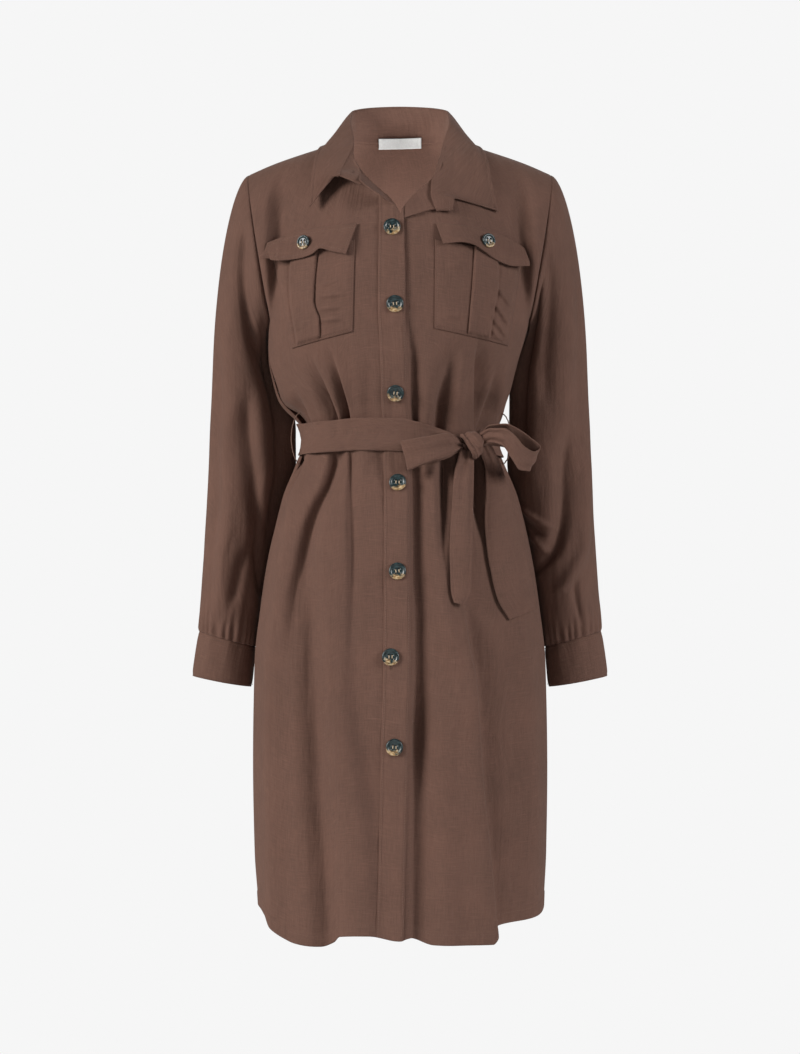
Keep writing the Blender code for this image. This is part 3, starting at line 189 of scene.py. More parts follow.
# Creases seen from in front or behind, in millimetres. line is x and z from top to foot, left and
# right are how far each side takes to level out, and a negative depth is a trough
Crease = namedtuple("Crease", "left right depth fade_top fade_foot line")
CREASES = {
    "front": rows(
        Crease,
        (7, 3, -2.2, 60, 30, ((-150, -231), (-139, -260), (-131, -297), (-119, -335))),
        (6, 4, -10.0, 40, 8, ((-122, -284), (-118, -302), (-111, -328), (-104, -350))),
        (10, 3, -19.0, 90, 8, ((-109, -241), (-95, -279), (-78, -325), (-73, -350))),
        (7, 2.5, -17.0, 80, 8, ((-82, -239), (-73, -279), (-62, -325), (-60, -350))),
        (7, 7, -2.2, 60, 20, ((-38, -231), (-40, -350))),
        (4, 10, -8.0, 70, 8, ((9, -200), (14, -268), (16, -323), (17, -350))),
        (9, 9, 4.0, 60, 20, ((36, -235), (31, -290), (28, -350))),
        (7, 10, -14.0, 90, 8, ((66, -225), (55, -275), (46, -325), (44, -350))),
        (9, 8, 4.0, 60, 10, ((76, -235), (70, -290), (68, -350))),
        (3, 12, -12.0, 50, 8, ((91, -225), (91, -282), (92, -350))),
        (4, 8, -8.0, 60, 10, ((117, -250), (110, -297), (100, -350))),
        (6, 6, 4.8, 60, 10, ((126, -239), (118, -297), (112, -350))),
        (4, 8, -12.0, 20, 50,
         ((-108, -352), (-117, -369), (-121, -386), (-126, -400), (-133, -425))),
        (12, 12, 7.0, 20, 90,
         ((-107, -345), (-118, -407), (-138, -528), (-150, -634), (-146, -1050))),
        (3.5, 15, -14.0, 30, 230,
         ((-74, -346), (-79, -366), (-90, -406), (-97, -421), (-108, -452), (-117, -491),
          (-126, -537), (-134, -640))),
        (16, 22, -14.0, 150, 40,
         ((-98, -430), (-104, -498), (-104, -563), (-102, -644), (-98, -755), (-91, -856),
          (-84, -1000))),
        (26, 24, 8.0, 60, 60,
         ((-66, -380), (-84, -503), (-80, -604), (-62, -730), (-38, -856), (-28, -1050))),
        (3, 9, -6.0, 24, 170, ((-60, -348), (-59, -369), (-58, -427), (-57, -503), (-58, -640))),
        (12, 14, -6.0, 120, 80, ((-56, -520), (-52, -640), (-34, -760), (-22, -880), (-18, -1050))),
        (6, 7, -3.5, 20, 50, ((-24, -348), (-22, -372), (-18, -430))),
        (4, 18, -11.0, 30, 110,
         ((14, -350), (16, -430), (16, -503), (19, -560), (17, -664), (15, -790))),
        (4, 20, -9.0, 110, 40, ((19, -600), (17, -720), (16, -805), (14, -1050))),
        (14, 14, 6.0, 30, 90, ((40, -345), (41, -412), (44, -483), (52, -563), (60, -640))),
        (9, 6, -13.0, 24, 160, ((54, -346), (53, -382), (51, -452), (43, -540))),
        (30, 6, 10.0, 60, 30,
         ((68, -530), (75, -589), (84, -634), (88, -694), (92, -755), (99, -826), (106, -906),
          (118, -1050))),
        (4, 20, -7.0, 60, 30,
         ((75, -530), (82, -589), (91, -634), (95, -694), (99, -755), (106, -826), (113, -906),
          (125, -1050))),
        (6, 8, -17.0, 24, 70, ((88, -346), (92, -385), (93, -430), (95, -480))),
        (8, 7, -5.0, 24, 90, ((104, -346), (114, -390), (128, -450), (137, -520))),
        (14, 14, 7.0, 80, 60, ((131, -520), (149, -654), (154, -805), (156, -1050))),
        (16, 18, 5.0, 100, 60, ((44, -640), (50, -780), (58, -1050))),
        (6, 9, -4.2, 12, 40, ((109, -12), (126, -46), (134, -90), (136, -120))),
        (9, 6, -3.2, 12, 30, ((-124, -12), (-129, -57), (-133, -100))),
        (9, 12, -3.8, 16, 40, ((-40, -60), (-39, -95), (-42, -150))),
    ),
    "back": rows(
        Crease,
        (17, 17, -9.5, 90, 60, ((-100, -440), (-108, -700), (-115, -1050))),
        (16, 16, 8.1, 90, 60, ((-60, -430), (-64, -700), (-68, -1050))),
        (15, 15, -8.1, 90, 60, ((-20, -440), (-24, -700), (-23, -1050))),
        (16, 16, 8.1, 90, 60, ((22, -430), (26, -700), (26, -1050))),
        (15, 15, -9.5, 90, 60, ((65, -450), (72, -700), (76, -1050))),
        (17, 17, 8.1, 90, 60, ((108, -440), (114, -700), (124, -1050))),
        (13, 13, -5.4, 60, 40, ((-85, -120), (-72, -250), (-60, -345))),
        (13, 13, -5.4, 60, 40, ((85, -130), (75, -240), (62, -345))),
        (8, 4, -6.8, 70, 10, ((-104, -240), (-92, -290), (-82, -350))),
        (5, 9, -6.8, 70, 10, ((-52, -230), (-46, -290), (-42, -350))),
        (8, 5, -6.1, 60, 10, ((-14, -250), (-12, -300), (-10, -350))),
        (5, 9, -6.8, 80, 10, ((36, -225), (32, -290), (28, -350))),
        (9, 4, -6.8, 70, 10, ((98, -240), (86, -295), (76, -350))),
        (8, 6, -6.8, 12, 110, ((-90, -340), (-98, -400), (-106, -500))),
        (5, 9, -7.4, 12, 120, ((-44, -340), (-46, -400), (-44, -510))),
        (7, 7, -6.1, 12, 90, ((4, -340), (3, -400), (0, -480))),
        (8, 5, -7.4, 12, 120, ((46, -340), (50, -400), (54, -520))),
        (6, 8, -6.8, 12, 100, ((88, -340), (98, -400), (110, -490))),
    ),
}
SOFT_CREASES = 46  # fine seeded drape lines on each face
WAIST = -345  # they spread above and below this height, in millimetres

# Swell of the cloth near a side seam: angle round the body from the middle of the front, in degrees
Swell = namedtuple("Swell", "angle z_top z_foot spread_front spread_back depth")
SWELL = Swell(-97, -0.190, -0.345, 24, 22, 0.0175)

BELT_Z = -0.3445
BELT_WIDTH = 0.039
GATHERS = 27  # small pleats round the waist
GATHER_DEPTH = 0.0032
GATHER_RISE = 0.085  # height over which they fade above the belt
GATHER_FALL = 0.150  # and below it
FRONT_GATHERS = 0.22  # share of their depth that they keep in front

# Sleeve sections. inner is the edge next to the body, for the right and for the left sleeve
Sleeve = namedtuple("Sleeve", "z outer inner_right inner_left y_middle half_depth")
SLEEVES = rows(
    Sleeve,
    (-0.2500, 0.2262, 0.1480, 0.1370, 0.037, 0.050),
    (-0.2700, 0.2272, 0.1430, 0.1340, 0.041, 0.051),
    (-0.3000, 0.2286, 0.1330, 0.1335, 0.044, 0.051),
    (-0.3360, 0.2304, 0.1270, 0.1335, 0.044, 0.051),
    (-0.3720, 0.2316, 0.1265, 0.1310, 0.045, 0.050),
    (-0.4200, 0.2335, 0.1340, 0.1400, 0.046, 0.048),
    (-0.4920, 0.2375, 0.1600, 0.1600, 0.040, 0.044),
    (-0.5400, 0.2405, 0.1680, 0.1680, 0.038, 0.041),
    (-0.5750, 0.2425, 0.1735, 0.1735, 0.036, 0.036),
    (-0.5875, 0.2424, 0.1764, 0.1764, 0.036, 0.0325),
)
SLEEVE_TILT = 0.00925  # half of how much lower a sleeve ends on its inner side
SLEEVE_GATHERS = 23
SLEEVE_GATHER_DEPTH = 0.0021
SLEEVE_GATHER_RISE = 0.042
SOFT_SLEEVE_CREASES = 30

# Sleeve creases, for each side: before and after are how far they take to level out, and line is
# the angle round the sleeve (0 outer side, 90 front) and the height, in degrees and millimetres
SleeveCrease = namedtuple("SleeveCrease", "before after depth fade_top fade_foot line")
SLEEVE_CREASES = {
    -1: rows(
        SleeveCrease,
        (26, 18, -20.0, 90, 110, ((140, -190), (146, -300), (150, -400), (150, -520))),
        (14, 14, -9.0, 60, 60, ((60, -60), (95, -170), (128, -280))),
        (14, 11, -9.8, 60, 40,
         ((96, -270), (85, -324), (98, -404), (118, -449), (146, -505), (160, -545))),
        (16, 16, 5.2, 50, 50, ((62, -290), (55, -360), (66, -450), (80, -560))),
        (15, 15, -5.2, 60, 80, ((30, -200), (38, -350), (45, -520))),
        (10, 10, -4.5, 40, 30, ((120, -455), (104, -500), (92, -560))),
        (18, 18, -7.5, 60, 60, ((250, -100), (236, -250), (220, -400))),
        (16, 16, -6.0, 60, 60, ((300, -300), (290, -430), (280, -560))),
        (12, 12, 4.5, 60, 60, ((268, -250), (262, -400), (256, -540))),
    ),
    1: rows(
        SleeveCrease,
        (18, 16, -16.0, 50, 70, ((104, -100), (137, -180), (142, -250), (148, -320), (150, -420))),
        (14, 12, -5.2, 40, 50, ((92, -120), (101, -190), (101, -250), (98, -320))),
        (13, 13, -12.0, 70, 30,
         ((58, -310), (64, -344), (78, -424), (103, -474), (147, -504), (175, -515))),
        (13, 13, 6.0, 70, 30, ((30, -320), (36, -400), (52, -470), (88, -515), (125, -540))),
        (9, 9, 5.2, 12, 12, ((172, -418), (146, -432), (122, -446), (98, -458))),
        (8, 8, -5.2, 12, 12, ((160, -440), (140, -452), (118, -468))),
        (8, 8, 4.5, 12, 12, ((150, -458), (132, -474), (120, -490))),
        (14, 14, -4.5, 60, 60, ((28, -130), (40, -280), (46, -400))),
        (6, 6, -3.8, 30, 20, ((72, -500), (80, -530), (74, -572))),
        (18, 18, -7.5, 60, 60, ((250, -110), (238, -260), (225, -420))),
        (16, 16, -6.0, 60, 60, ((300, -300), (286, -430), (275, -560))),
        (12, 12, 4.5, 60, 60, ((265, -250), (258, -400), (252, -540))),
    ),
}

Cuff = namedtuple("Cuff", "share outer inner outer_z inner_z half_depth")
CUFFS = rows(
    Cuff,
    (0.0, 0.2424, 0.1764, -0.57825, -0.59675, 0.0325),
    (0.5, 0.2464, 0.1782, -0.6050, -0.6210, 0.0335),
    (1.0, 0.2500, 0.1802, -0.6325, -0.6455, 0.0345),
)
CUFF_OVERLAP = 24  # degrees of the cuff's band that lie over its other end
CUFF_OPEN = 300  # angle of the overlapping end
CUFF_LAP = 0.0016  # how far it stands out there
CUFF_STITCHES = (0.07, 0.95)  # shares of the cuff's height

# Collar from the middle of the back to the front: seam on the neckline, roll at the top, outer
# edge. lift is how far the fall stands proud of the straight line down to its edge. Over is a place
# that shows at x and z and lies clear in front of the front panel. Both halves are given at +X.
Collar = namedtuple("Collar", "seam roll edge lift")
Over = namedtuple("Over", "x z clear")
COLLAR_BACK = rows(
    Collar,
    ((0.0000, 0.0600, 0.0148), (0.0000, 0.0655, 0.0620), (0.0000, 0.0950, 0.0160), 0.006),
    ((0.0340, 0.0555, 0.0153), (0.0345, 0.0590, 0.0598), (0.0480, 0.0850, 0.0130), 0.005),
    ((0.0560, 0.0350, 0.0148), (0.0575, 0.0330, 0.0512), (0.0830, 0.0500, 0.0040), 0.004),
    ((0.0658, 0.0000, 0.0104), (0.0590, -0.0020, 0.0330), (0.0920, 0.0010, -0.0005), 0.003),
)
COLLAR_LEFT = rows(
    Collar,
    ((0.0587, -0.0382, -0.0064), (0.0512, -0.0330, 0.0040), Over(0.1040, -0.0200, 0.0035), 0.004),
    ((0.0485, -0.0665, -0.0280), (0.0432, -0.0700, -0.0290), Over(0.1090, -0.0500, 0.005), 0.003),
    (Over(0.0400, -0.0450, 0.002), Over(0.0365, -0.0520, 0.006),
     Over(0.1153, -0.0820, 0.004), 0.002),
    (Over(0.0385, -0.0640, 0.005), Over(0.0365, -0.0650, 0.006),
     Over(0.0641, -0.0692, 0.006), 0.001),
    (Over(0.0440, -0.0830, 0.004), Over(0.0431, -0.0844, 0.005), Over(0.0617, -0.0844, 0.005), 0.0),
)
COLLAR_RIGHT = rows(
    Collar,
    ((0.0587, -0.0382, -0.0064), (0.0550, -0.0340, 0.0050), Over(0.1010, -0.0200, 0.0035), 0.004),
    ((0.0520, -0.0590, -0.0215), Over(0.0620, -0.0170, 0.008), Over(0.1040, -0.0480, 0.009), 0.003),
    ((0.0470, -0.0690, -0.0310), Over(0.0690, -0.0340, 0.013), Over(0.1049, -0.0785, 0.015), 0.001),
    (Over(0.0448, -0.0440, 0.013), Over(0.0708, -0.0390, 0.019), Over(0.0770, -0.0435, 0.019), 0.0),
    (Over(0.0448, -0.0540, 0.020), Over(0.0712, -0.0418, 0.021), Over(0.0725, -0.0428, 0.021), 0.0),
)
TAB_HOLE = (-0.0562, -0.0370)  # x and z of the buttonhole on the collar's open tab

# Rolled top corners of the fronts' facings, by x: on the right the upper edge and the height, on
# the left the foot
FACING_TOP = (
    (0.0070, 0.0085, 0.0270, 0.0405, 0.0470),
    (-0.0765, -0.0750, -0.0565, -0.0435, -0.0360),
)
FACING_HEIGHT = ((0.0070, 0.0125, 0.0165, 0.0290, 0.0440), (0.0005, 0.0025, 0.0055, 0.0095, 0.0125))
FACING_FOOT = ((0.0045, 0.0350, 0.0440), (-0.0935, -0.0838, -0.0830))

# Pockets: the four corners, in metres, and the two lines of the box pleat, x and z in millimetres
# from the top down
Corner = namedtuple("Corner", "x z")
POCKETS = {
    "left": rows(
        Corner,
        (0.0410, -0.1180),
        (0.1435, -0.1330),
        (0.1275, -0.2390),
        (0.0400, -0.2215),
    ),
    "right": rows(
        Corner,
        (-0.0525, -0.1180),
        (-0.1500, -0.1330),
        (-0.1270, -0.2420),
        (-0.0550, -0.2250),
    ),
}
PLEATS = {
    "left": (
        ((88.6, -110), (85.1, -168), (79.3, -235)),
        ((115, -118), (114.3, -169), (108.4, -204), (103.8, -235)),
    ),
    "right": (
        ((-128, -118), (-129, -170), (-121, -235)),
        ((-95, -118), (-100.5, -169), (-101, -189), (-94.4, -213), (-94.4, -235)),
    ),
}
PLEAT_RISE = 0.0030
POCKET_OUT = 0.0023  # middle of a pocket's cloth from the middle of the panel's
POCKET_EDGE_OUT = 0.0008  # the same at its sewn edges
# Short wrinkles: a line from x1, z1 to x2, z2 in millimetres, its width and its height
Wrinkle = namedtuple("Wrinkle", "x1 z1 x2 z2 width depth")
WRINKLES = {
    "left": rows(
        Wrinkle,
        (108, -165, 136, -199, 3.0, 2.7),
        (106, -184, 132, -220, 3.0, 3.1),
        (102, -199, 130, -234, 3.0, 2.7),
        (104, -216, 120, -238, 2.6, 2.0),
        (52, -150, 76, -146, 3.5, 1.2),
        (50, -205, 72, -209, 3.5, 1.2),
    ),
    "right": rows(
        Wrinkle,
        (-98, -184, -62, -181, 2.6, 1.9),
        (-98, -199, -66, -196, 2.6, 1.9),
        (-98, -212, -64, -210, 2.6, 2.0),
        (-96, -170, -72, -166, 2.8, 1.2),
        (-140, -160, -124, -164, 3.2, 1.4),
        (-134, -215, -112, -220, 3.0, 1.2),
    ),
}

# Flaps: upper and lower edge from the middle of the front outwards, in millimetres, and how far the
# foot curls out there
Flap = namedtuple("Flap", "top_x top_z foot_x foot_z curl")
FLAPS = {
    "left": rows(
        Flap,
        (42.0, -98.6, 50.1, -123.6, 1.5),
        (62.0, -100.0, 72.0, -121.3, 3.5),
        (76.0, -101.2, 85.0, -123.3, 4.5),
        (92.0, -102.9, 99.0, -131.0, 2.5),
        (108.0, -106.5, 113.0, -140.0, 0.5),
        (129.4, -113.1, 132.9, -146.3, 1.0),
        (146.9, -123.6, 153.9, -145.3, 0.0),
    ),
    "right": rows(
        Flap,
        (-49.6, -99.1, -63.0, -135.8, 1.0),
        (-70.0, -100.6, -80.0, -131.5, 2.5),
        (-84.0, -101.6, -93.0, -128.0, 4.5),
        (-97.0, -102.5, -104.5, -134.8, 2.5),
        (-114.3, -103.8, -119.0, -138.3, 0.5),
        (-136.0, -110.5, -142.0, -139.9, 1.0),
        (-156.2, -117.8, -162.0, -135.8, 0.0),
    ),
}
FLAP_OUT = (0.0020, 0.0044, 0.0068, 0.0070)  # middle of a flap's cloth from its top to its foot
FLAP_STITCH = 0.0042  # from a flap's edge to its stitching

# Bow: each row joins the upper edge to the lower edge, or the left edge to the right
Ribbon = namedtuple("Ribbon", "x1 y1 z1 x2 y2 z2")
BOW_LOOP_RIGHT = rows(
    Ribbon,
    (0.0729, -0.0870, -0.3530, 0.0727, -0.0865, -0.3600),
    (0.0560, -0.0960, -0.3470, 0.0560, -0.0950, -0.3720),
    (0.0300, -0.1010, -0.3500, 0.0310, -0.1000, -0.3790),
    (0.0080, -0.1025, -0.3525, 0.0140, -0.1020, -0.3850),
    (0.0005, -0.1060, -0.3530, 0.0090, -0.1050, -0.3868),
    (0.0010, -0.1100, -0.3525, 0.0095, -0.1090, -0.3865),
    (0.0085, -0.1130, -0.3510, 0.0150, -0.1120, -0.3840),
    (0.0300, -0.1140, -0.3475, 0.0310, -0.1120, -0.3780),
    (0.0560, -0.1080, -0.3435, 0.0560, -0.1060, -0.3700),
    (0.0731, -0.0900, -0.3520, 0.0727, -0.0895, -0.3600),
)
BOW_LOOP_LEFT = rows(
    Ribbon,
    (0.0930, -0.0800, -0.3480, 0.0940, -0.0790, -0.3560),
    (0.1050, -0.0890, -0.3335, 0.1060, -0.0640, -0.3560),
    (0.1229, -0.0930, -0.3320, 0.1220, -0.0600, -0.3580),
    (0.1370, -0.0915, -0.3375, 0.1330, -0.0580, -0.3650),
    (0.1520, -0.0870, -0.3475, 0.1440, -0.0600, -0.3740),
    (0.1640, -0.0820, -0.3580, 0.1525, -0.0760, -0.3840),
    (0.1560, -0.0890, -0.3640, 0.1500, -0.0880, -0.3872),
    (0.1440, -0.0940, -0.3575, 0.1400, -0.0935, -0.3860),
    (0.1330, -0.0970, -0.3445, 0.1310, -0.0955, -0.3740),
    (0.1200, -0.0975, -0.3372, 0.1190, -0.0960, -0.3570),
    (0.1060, -0.0950, -0.3372, 0.1060, -0.0930, -0.3535),
    (0.0940, -0.0880, -0.3430, 0.0950, -0.0870, -0.3575),
)
# Tails: left edge and right edge, and how far they hang in front of the skirt
Tail = namedtuple("Tail", "x1 z1 x2 z2 clear1 clear2")
TAIL_RIGHT = rows(
    Tail,
    (0.0710, -0.3610, 0.0865, -0.3640, 0.014, 0.015),
    (0.0635, -0.3900, 0.0860, -0.3900, 0.012, 0.015),
    (0.0605, -0.4290, 0.0850, -0.4290, 0.009, 0.015),
    (0.0585, -0.4550, 0.0845, -0.4550, 0.008, 0.012),
    (0.0575, -0.4820, 0.0840, -0.4820, 0.007, 0.010),
    (0.0580, -0.5050, 0.0830, -0.5050, 0.007, 0.010),
    (0.0590, -0.5260, 0.0818, -0.5260, 0.007, 0.010),
    (0.0625, -0.5400, 0.0760, -0.5425, 0.007, 0.009),
)
TAIL_LEFT = rows(
    Tail,
    (0.0925, -0.3610, 0.1070, -0.3540, 0.015, 0.014),
    (0.1000, -0.3840, 0.1185, -0.3780, 0.010, 0.012),
    (0.1010, -0.4120, 0.1280, -0.4080, 0.007, 0.013),
    (0.0990, -0.4430, 0.1360, -0.4380, 0.005, 0.012),
    (0.1010, -0.4760, 0.1440, -0.4690, 0.0045, 0.011),
    (0.1065, -0.5080, 0.1520, -0.5000, 0.0045, 0.010),
    (0.1140, -0.5370, 0.1580, -0.5260, 0.0045, 0.010),
    (0.1280, -0.5610, 0.1612, -0.5485, 0.0045, 0.010),
)
TAIL_FOLDS = 0.25  # share of the skirt's folds that a tail follows
RIBBON_STITCH = 0.0035  # from a ribbon's edge to its seam
KNOT_CENTRE = (0.0855, -0.0860, -0.3550)
KNOT_RADII = (0.0122, 0.0140)  # depth and height of the knot's wrap
KNOT_HALF_WIDTH = 0.0088
KNOT_TILT = -36
KNOT_SPIN = 14
KNOT_ANGLE = 50  # where it sits, in degrees round the body

# Belt's upper and lower edge by the angle round the body in degrees: it is drawn together at the
# knot
BeltEdge = namedtuple("BeltEdge", "angle top foot")
BELT_EDGES = rows(
    BeltEdge,
    (-180, -0.3270, -0.3660),
    (-90, -0.3290, -0.3665),
    (-60, -0.3280, -0.3655),
    (-30, -0.3250, -0.3628),
    (0, -0.3255, -0.3640),
    (10, -0.3285, -0.3645),
    (28, -0.3370, -0.3655),
    (44, -0.3475, -0.3650),
    (54, -0.3480, -0.3640),
    (66, -0.3370, -0.3655),
    (90, -0.3310, -0.3690),
    (130, -0.3280, -0.3670),
    (180, -0.3270, -0.3660),
)
BELT_SPAN = 0.11  # the belt bridges dips narrower than this, in radians
BELT_EASE = -0.0008

BUTTON_THICKNESS = 0.0030
BUTTON_RADIUS = 0.0100
POCKET_BUTTON_RADIUS = 0.0085
CUFF_BUTTON_RADIUS = 0.0065
CUFF_BUTTON_ANGLE = 285
BUTTON_OUT = LAYER / 2 + 0.0006  # a button's back from the middle of the cloth under it
HOLE_SHARE = 0.26  # of the button's radius, from its middle to a hole's middle
HOLE_RADIUS = 0.105  # the same for the hole's own radius
BUTTON_HEIGHTS = (-0.1035, -0.1935, -0.2965, -0.4005, -0.5035, -0.6025, -0.7065)
BUTTON_ACROSS = (-0.0093, -0.0058, -0.0052, -0.0027, -0.0029, -0.0108, -0.0064)
# Turned outline from the dished middle over the rim to the back's middle, in radii and thicknesses
BUTTON_PROFILE = (
    (0.0, 0.60), (0.30, 0.60), (0.55, 0.62), (0.66, 0.68), (0.73, 0.86), (0.79, 0.98), (0.86, 1.0),
    (0.93, 0.93), (0.98, 0.74), (1.0, 0.50), (0.98, 0.26), (0.90, 0.06), (0.80, 0.0), (0.0, 0.0),
)
PocketButton = namedtuple("PocketButton", "name x z")
POCKET_BUTTONS = rows(
    PocketButton,
    ("pocket_button_right", -0.1127, -0.1195),
    ("pocket_button_left", 0.1032, -0.1180),
)

# Thread loops that carry the belt
CARRIER_Z = -0.3465
CARRIER_HALF = 0.031
CARRIER_SHARE = 0.94
CARRIER_REACH = 0.0115
CARRIER_OUT = {-1: 0.0012, 1: 0.0006}
CARRIER_RADIUS = 0.00070

LABEL_WIDTH = 0.052
LABEL_HEIGHT = 0.013
LABEL_Z = 0.0150
LABEL_WALL = 0.0008


# ---- Small tools ----


def smooth_step(t):
    """0 below 0, 1 above 1, and an S-shaped rise between."""
    t = np.clip(t, 0.0, 1.0)
    return t * t * (3.0 - 2.0 * t)


def bell(off, width):
    """1 at 0, and falling off to both sides."""
    return np.exp(-((off / width) ** 2))


def steps(count):
    return np.linspace(0.0, 1.0, count + 1)


def stack(*parts):
    return np.stack(np.broadcast_arrays(*parts), -1)


def unit(vectors):
    return vectors / np.maximum(np.linalg.norm(vectors, axis=-1, keepdims=True), 1e-12)


def through(keys, values, at):
    """Smooth curve through the given values that never overshoots them."""
    keys = np.asarray(keys, float)
    values = np.asarray(values, float)
    if keys[0] > keys[-1]:
        keys, values = keys[::-1], values[::-1]
    at = np.clip(np.asarray(at, float), keys[0], keys[-1])
    step = np.diff(keys)
    rise = np.diff(values) / step
    slope = np.zeros(len(keys))
    same_way = rise[:-1] * rise[1:] > 0
    harmonic = 2.0 * rise[:-1] * rise[1:] / np.where(same_way, rise[:-1] + rise[1:], 1.0)
    slope[1:-1] = np.where(same_way, harmonic, 0.0)
    slope[0], slope[-1] = rise[0], rise[-1]
    i = np.clip(np.searchsorted(keys, at) - 1, 0, len(step) - 1)
    t = (at - keys[i]) / step[i]
    start = values[i] + t * t * (3 - 2 * t) * (values[i + 1] - values[i])
    return start + step[i] * t * (1 - t) * ((1 - t) * slope[i] - t * slope[i + 1])


def columns(table, names, at):
    """The named columns of a table at the given values of its first column."""
    keys = [row[0] for row in table]
    return [through(keys, [getattr(row, name) for row in table], at) for name in names.split()]


def curve(points, at, keys=None):
    """Smooth curve through points; their keys are their numbers unless given."""
    points = np.array(points, float)
    keys = range(len(points)) if keys is None else keys
    return stack(*(through(keys, points[:, k], at) for k in range(points.shape[1])))


def bezier(p0, p1, p2, p3, t):
    t = np.asarray(t)[..., None]
    s = 1.0 - t
    return s**3 * p0 + 3 * s * s * t * p1 + 3 * s * t * t * p2 + t**3 * p3


def flattened(wave, power):
    """A sine or cosine whose round turns into a squarer or a flatter outline."""
    return np.sign(wave) * np.abs(wave) ** power


def arc_lengths(grid, axis):
    lengths = np.linalg.norm(np.diff(grid, axis=axis), axis=2)
    run = np.cumsum(lengths, axis=axis)
    start = np.zeros_like(np.take(run, [0], axis=axis))
    return np.concatenate([start, run], axis=axis)


def line_lengths(points):
    """Distance of each point of a line from its start."""
    return np.concatenate([[0.0], np.cumsum(np.linalg.norm(np.diff(points, axis=0), axis=1))])


def edge_distances(grid):
    """Distance from each edge of a grid: n last row, s first, w first column, e last."""
    u, v = arc_lengths(grid, 1), arc_lengths(grid, 0)
    return {"w": u, "e": u[:, -1:] - u, "s": v, "n": v[-1:] - v}


def grid_normals(grid):
    return unit(np.cross(np.gradient(grid, axis=1), np.gradient(grid, axis=0)))


def evened(field, rounds):
    """Smooths a grid of vectors along both ways."""
    for _ in range(rounds):
        field = field.copy()
        field[1:-1] = (field[:-2] + 2 * field[1:-1] + field[2:]) / 4
        field[:, 1:-1] = (field[:, :-2] + 2 * field[:, 1:-1] + field[:, 2:]) / 4
    return field


# ---- The body's surface ----

ARM_SHARE = 0.72  # the yoke turns into the armhole from here outwards
PULL = 0.36  # length of the yoke curve's handles as a share of its reach
NECK_SHARE = 0.335  # where the neckline meets the shoulder seam


def section(angle, z):
    """Points on the body's section at height z. Angle 0 is the front, pi / 2 the wearer's left."""
    half, front, back = columns(SECTIONS, "half_width front back", z)
    s, c = np.sin(angle), np.cos(angle)
    power = 2.0 / SECTION_POWER
    return stack(half * flattened(s, power), -np.where(c > 0, front, back) * flattened(c, power), z)


def share_at(x, z):
    """How far round a quarter of the front a point with this x lies: 0 middle, 1 side seam."""
    (half,) = columns(SECTIONS, "half_width", z)
    ratio = np.clip(np.abs(x) / half, 0.0, 1.0)
    return np.sign(x) * np.arcsin(ratio ** (SECTION_POWER / 2.0)) / (math.pi / 2.0)


def hem_z(face, share):
    return columns(HEM, face + "_z", share)[0]


def below_chest(face, share, t):
    """t runs from 0 at the hem to 1 at the chest line."""
    low = hem_z(face, share)
    z = low + (CHEST_Z - low) * t
    angle = share * math.pi / 2.0
    if face == "back":
        angle = math.pi - angle
    return section(angle, z)


def above_chest(face, share, t):
    """t runs from 0 at the chest line to 1 at the neckline, shoulder seam or armhole's top."""
    way = -1.0 if face == "front" else 1.0
    size, sign = np.abs(share), np.where(np.asarray(share) < 0, -1.0, 1.0)
    foot = below_chest(face, size, np.ones_like(size))
    *top, lean = columns(FRONT_TOP if face == "front" else BACK_TOP, "x y z lean", size)
    top, lean = stack(*top), np.radians(lean)
    at_arm = smooth_step((size - ARM_SHARE) / (1 - ARM_SHARE))
    up = unit(stack(0.02 + 0.10 * at_arm, way * (0.02 + 1.30 * at_arm), 1.0 - 0.55 * at_arm))
    over = unit(stack(np.zeros_like(size), -way * np.sin(lean), np.cos(lean)))
    reach = np.linalg.norm(top - foot, axis=-1, keepdims=True)
    first = foot + up * reach * (PULL + 0.10 * at_arm[..., None])
    last = top - over * reach * (PULL + 0.02 * at_arm[..., None])
    return bezier(foot, first, last, top, t) * stack(sign, 1.0, 1.0)


def base_surface(face, share, v):
    """v runs from 0 at the hem through 1 at the chest line to 2 at the top edge."""
    share, v = np.broadcast_arrays(np.asarray(share, float), np.asarray(v, float))
    low = below_chest(face, share, np.clip(v, 0.0, 1.0))
    high = above_chest(face, share, np.clip(v - 1.0, 0.0, 1.0))
    return np.where((v > 1.0)[..., None], high, low)


def normals(face, share, v):
    """Unit vectors out of the cloth, from small steps along the surface."""
    e = 0.004
    share, v = np.broadcast_arrays(np.asarray(share, float), np.asarray(v, float))
    right = base_surface(face, np.minimum(share + e, 1.0), v)
    left = base_surface(face, np.maximum(share - e, -1.0), v)
    above = base_surface(face, share, np.minimum(v + e, 2.0))
    under = base_surface(face, share, np.maximum(v - e, 0.0))
    found = unit(np.cross(right - left, above - under))
    return found if face == "front" else -found


def crease_list(face):
    """The face's own creases and its seeded fine ones."""
    draw = random.Random(11 if face == "front" else 29)
    found = list(CREASES[face])
    for _ in range(SOFT_CREASES):
        x, z = draw.uniform(-150, 150), draw.uniform(-880, -70)
        long = draw.uniform(60, 190)
        lean = x * 0.0003 * (1 if z < WAIST else -1) + draw.uniform(-0.06, 0.06)
        wide = draw.uniform(3.5, 11)
        depth = draw.uniform(0.25, 0.85) * draw.choice((-1, 1))
        line = [(x + lean * long * t, z - long * t) for t in (0, 0.5, 1)]
        fade = long * 0.45
        found.append(Crease(wide, wide * draw.uniform(0.7, 1.3), depth, fade, fade, line))
    return found


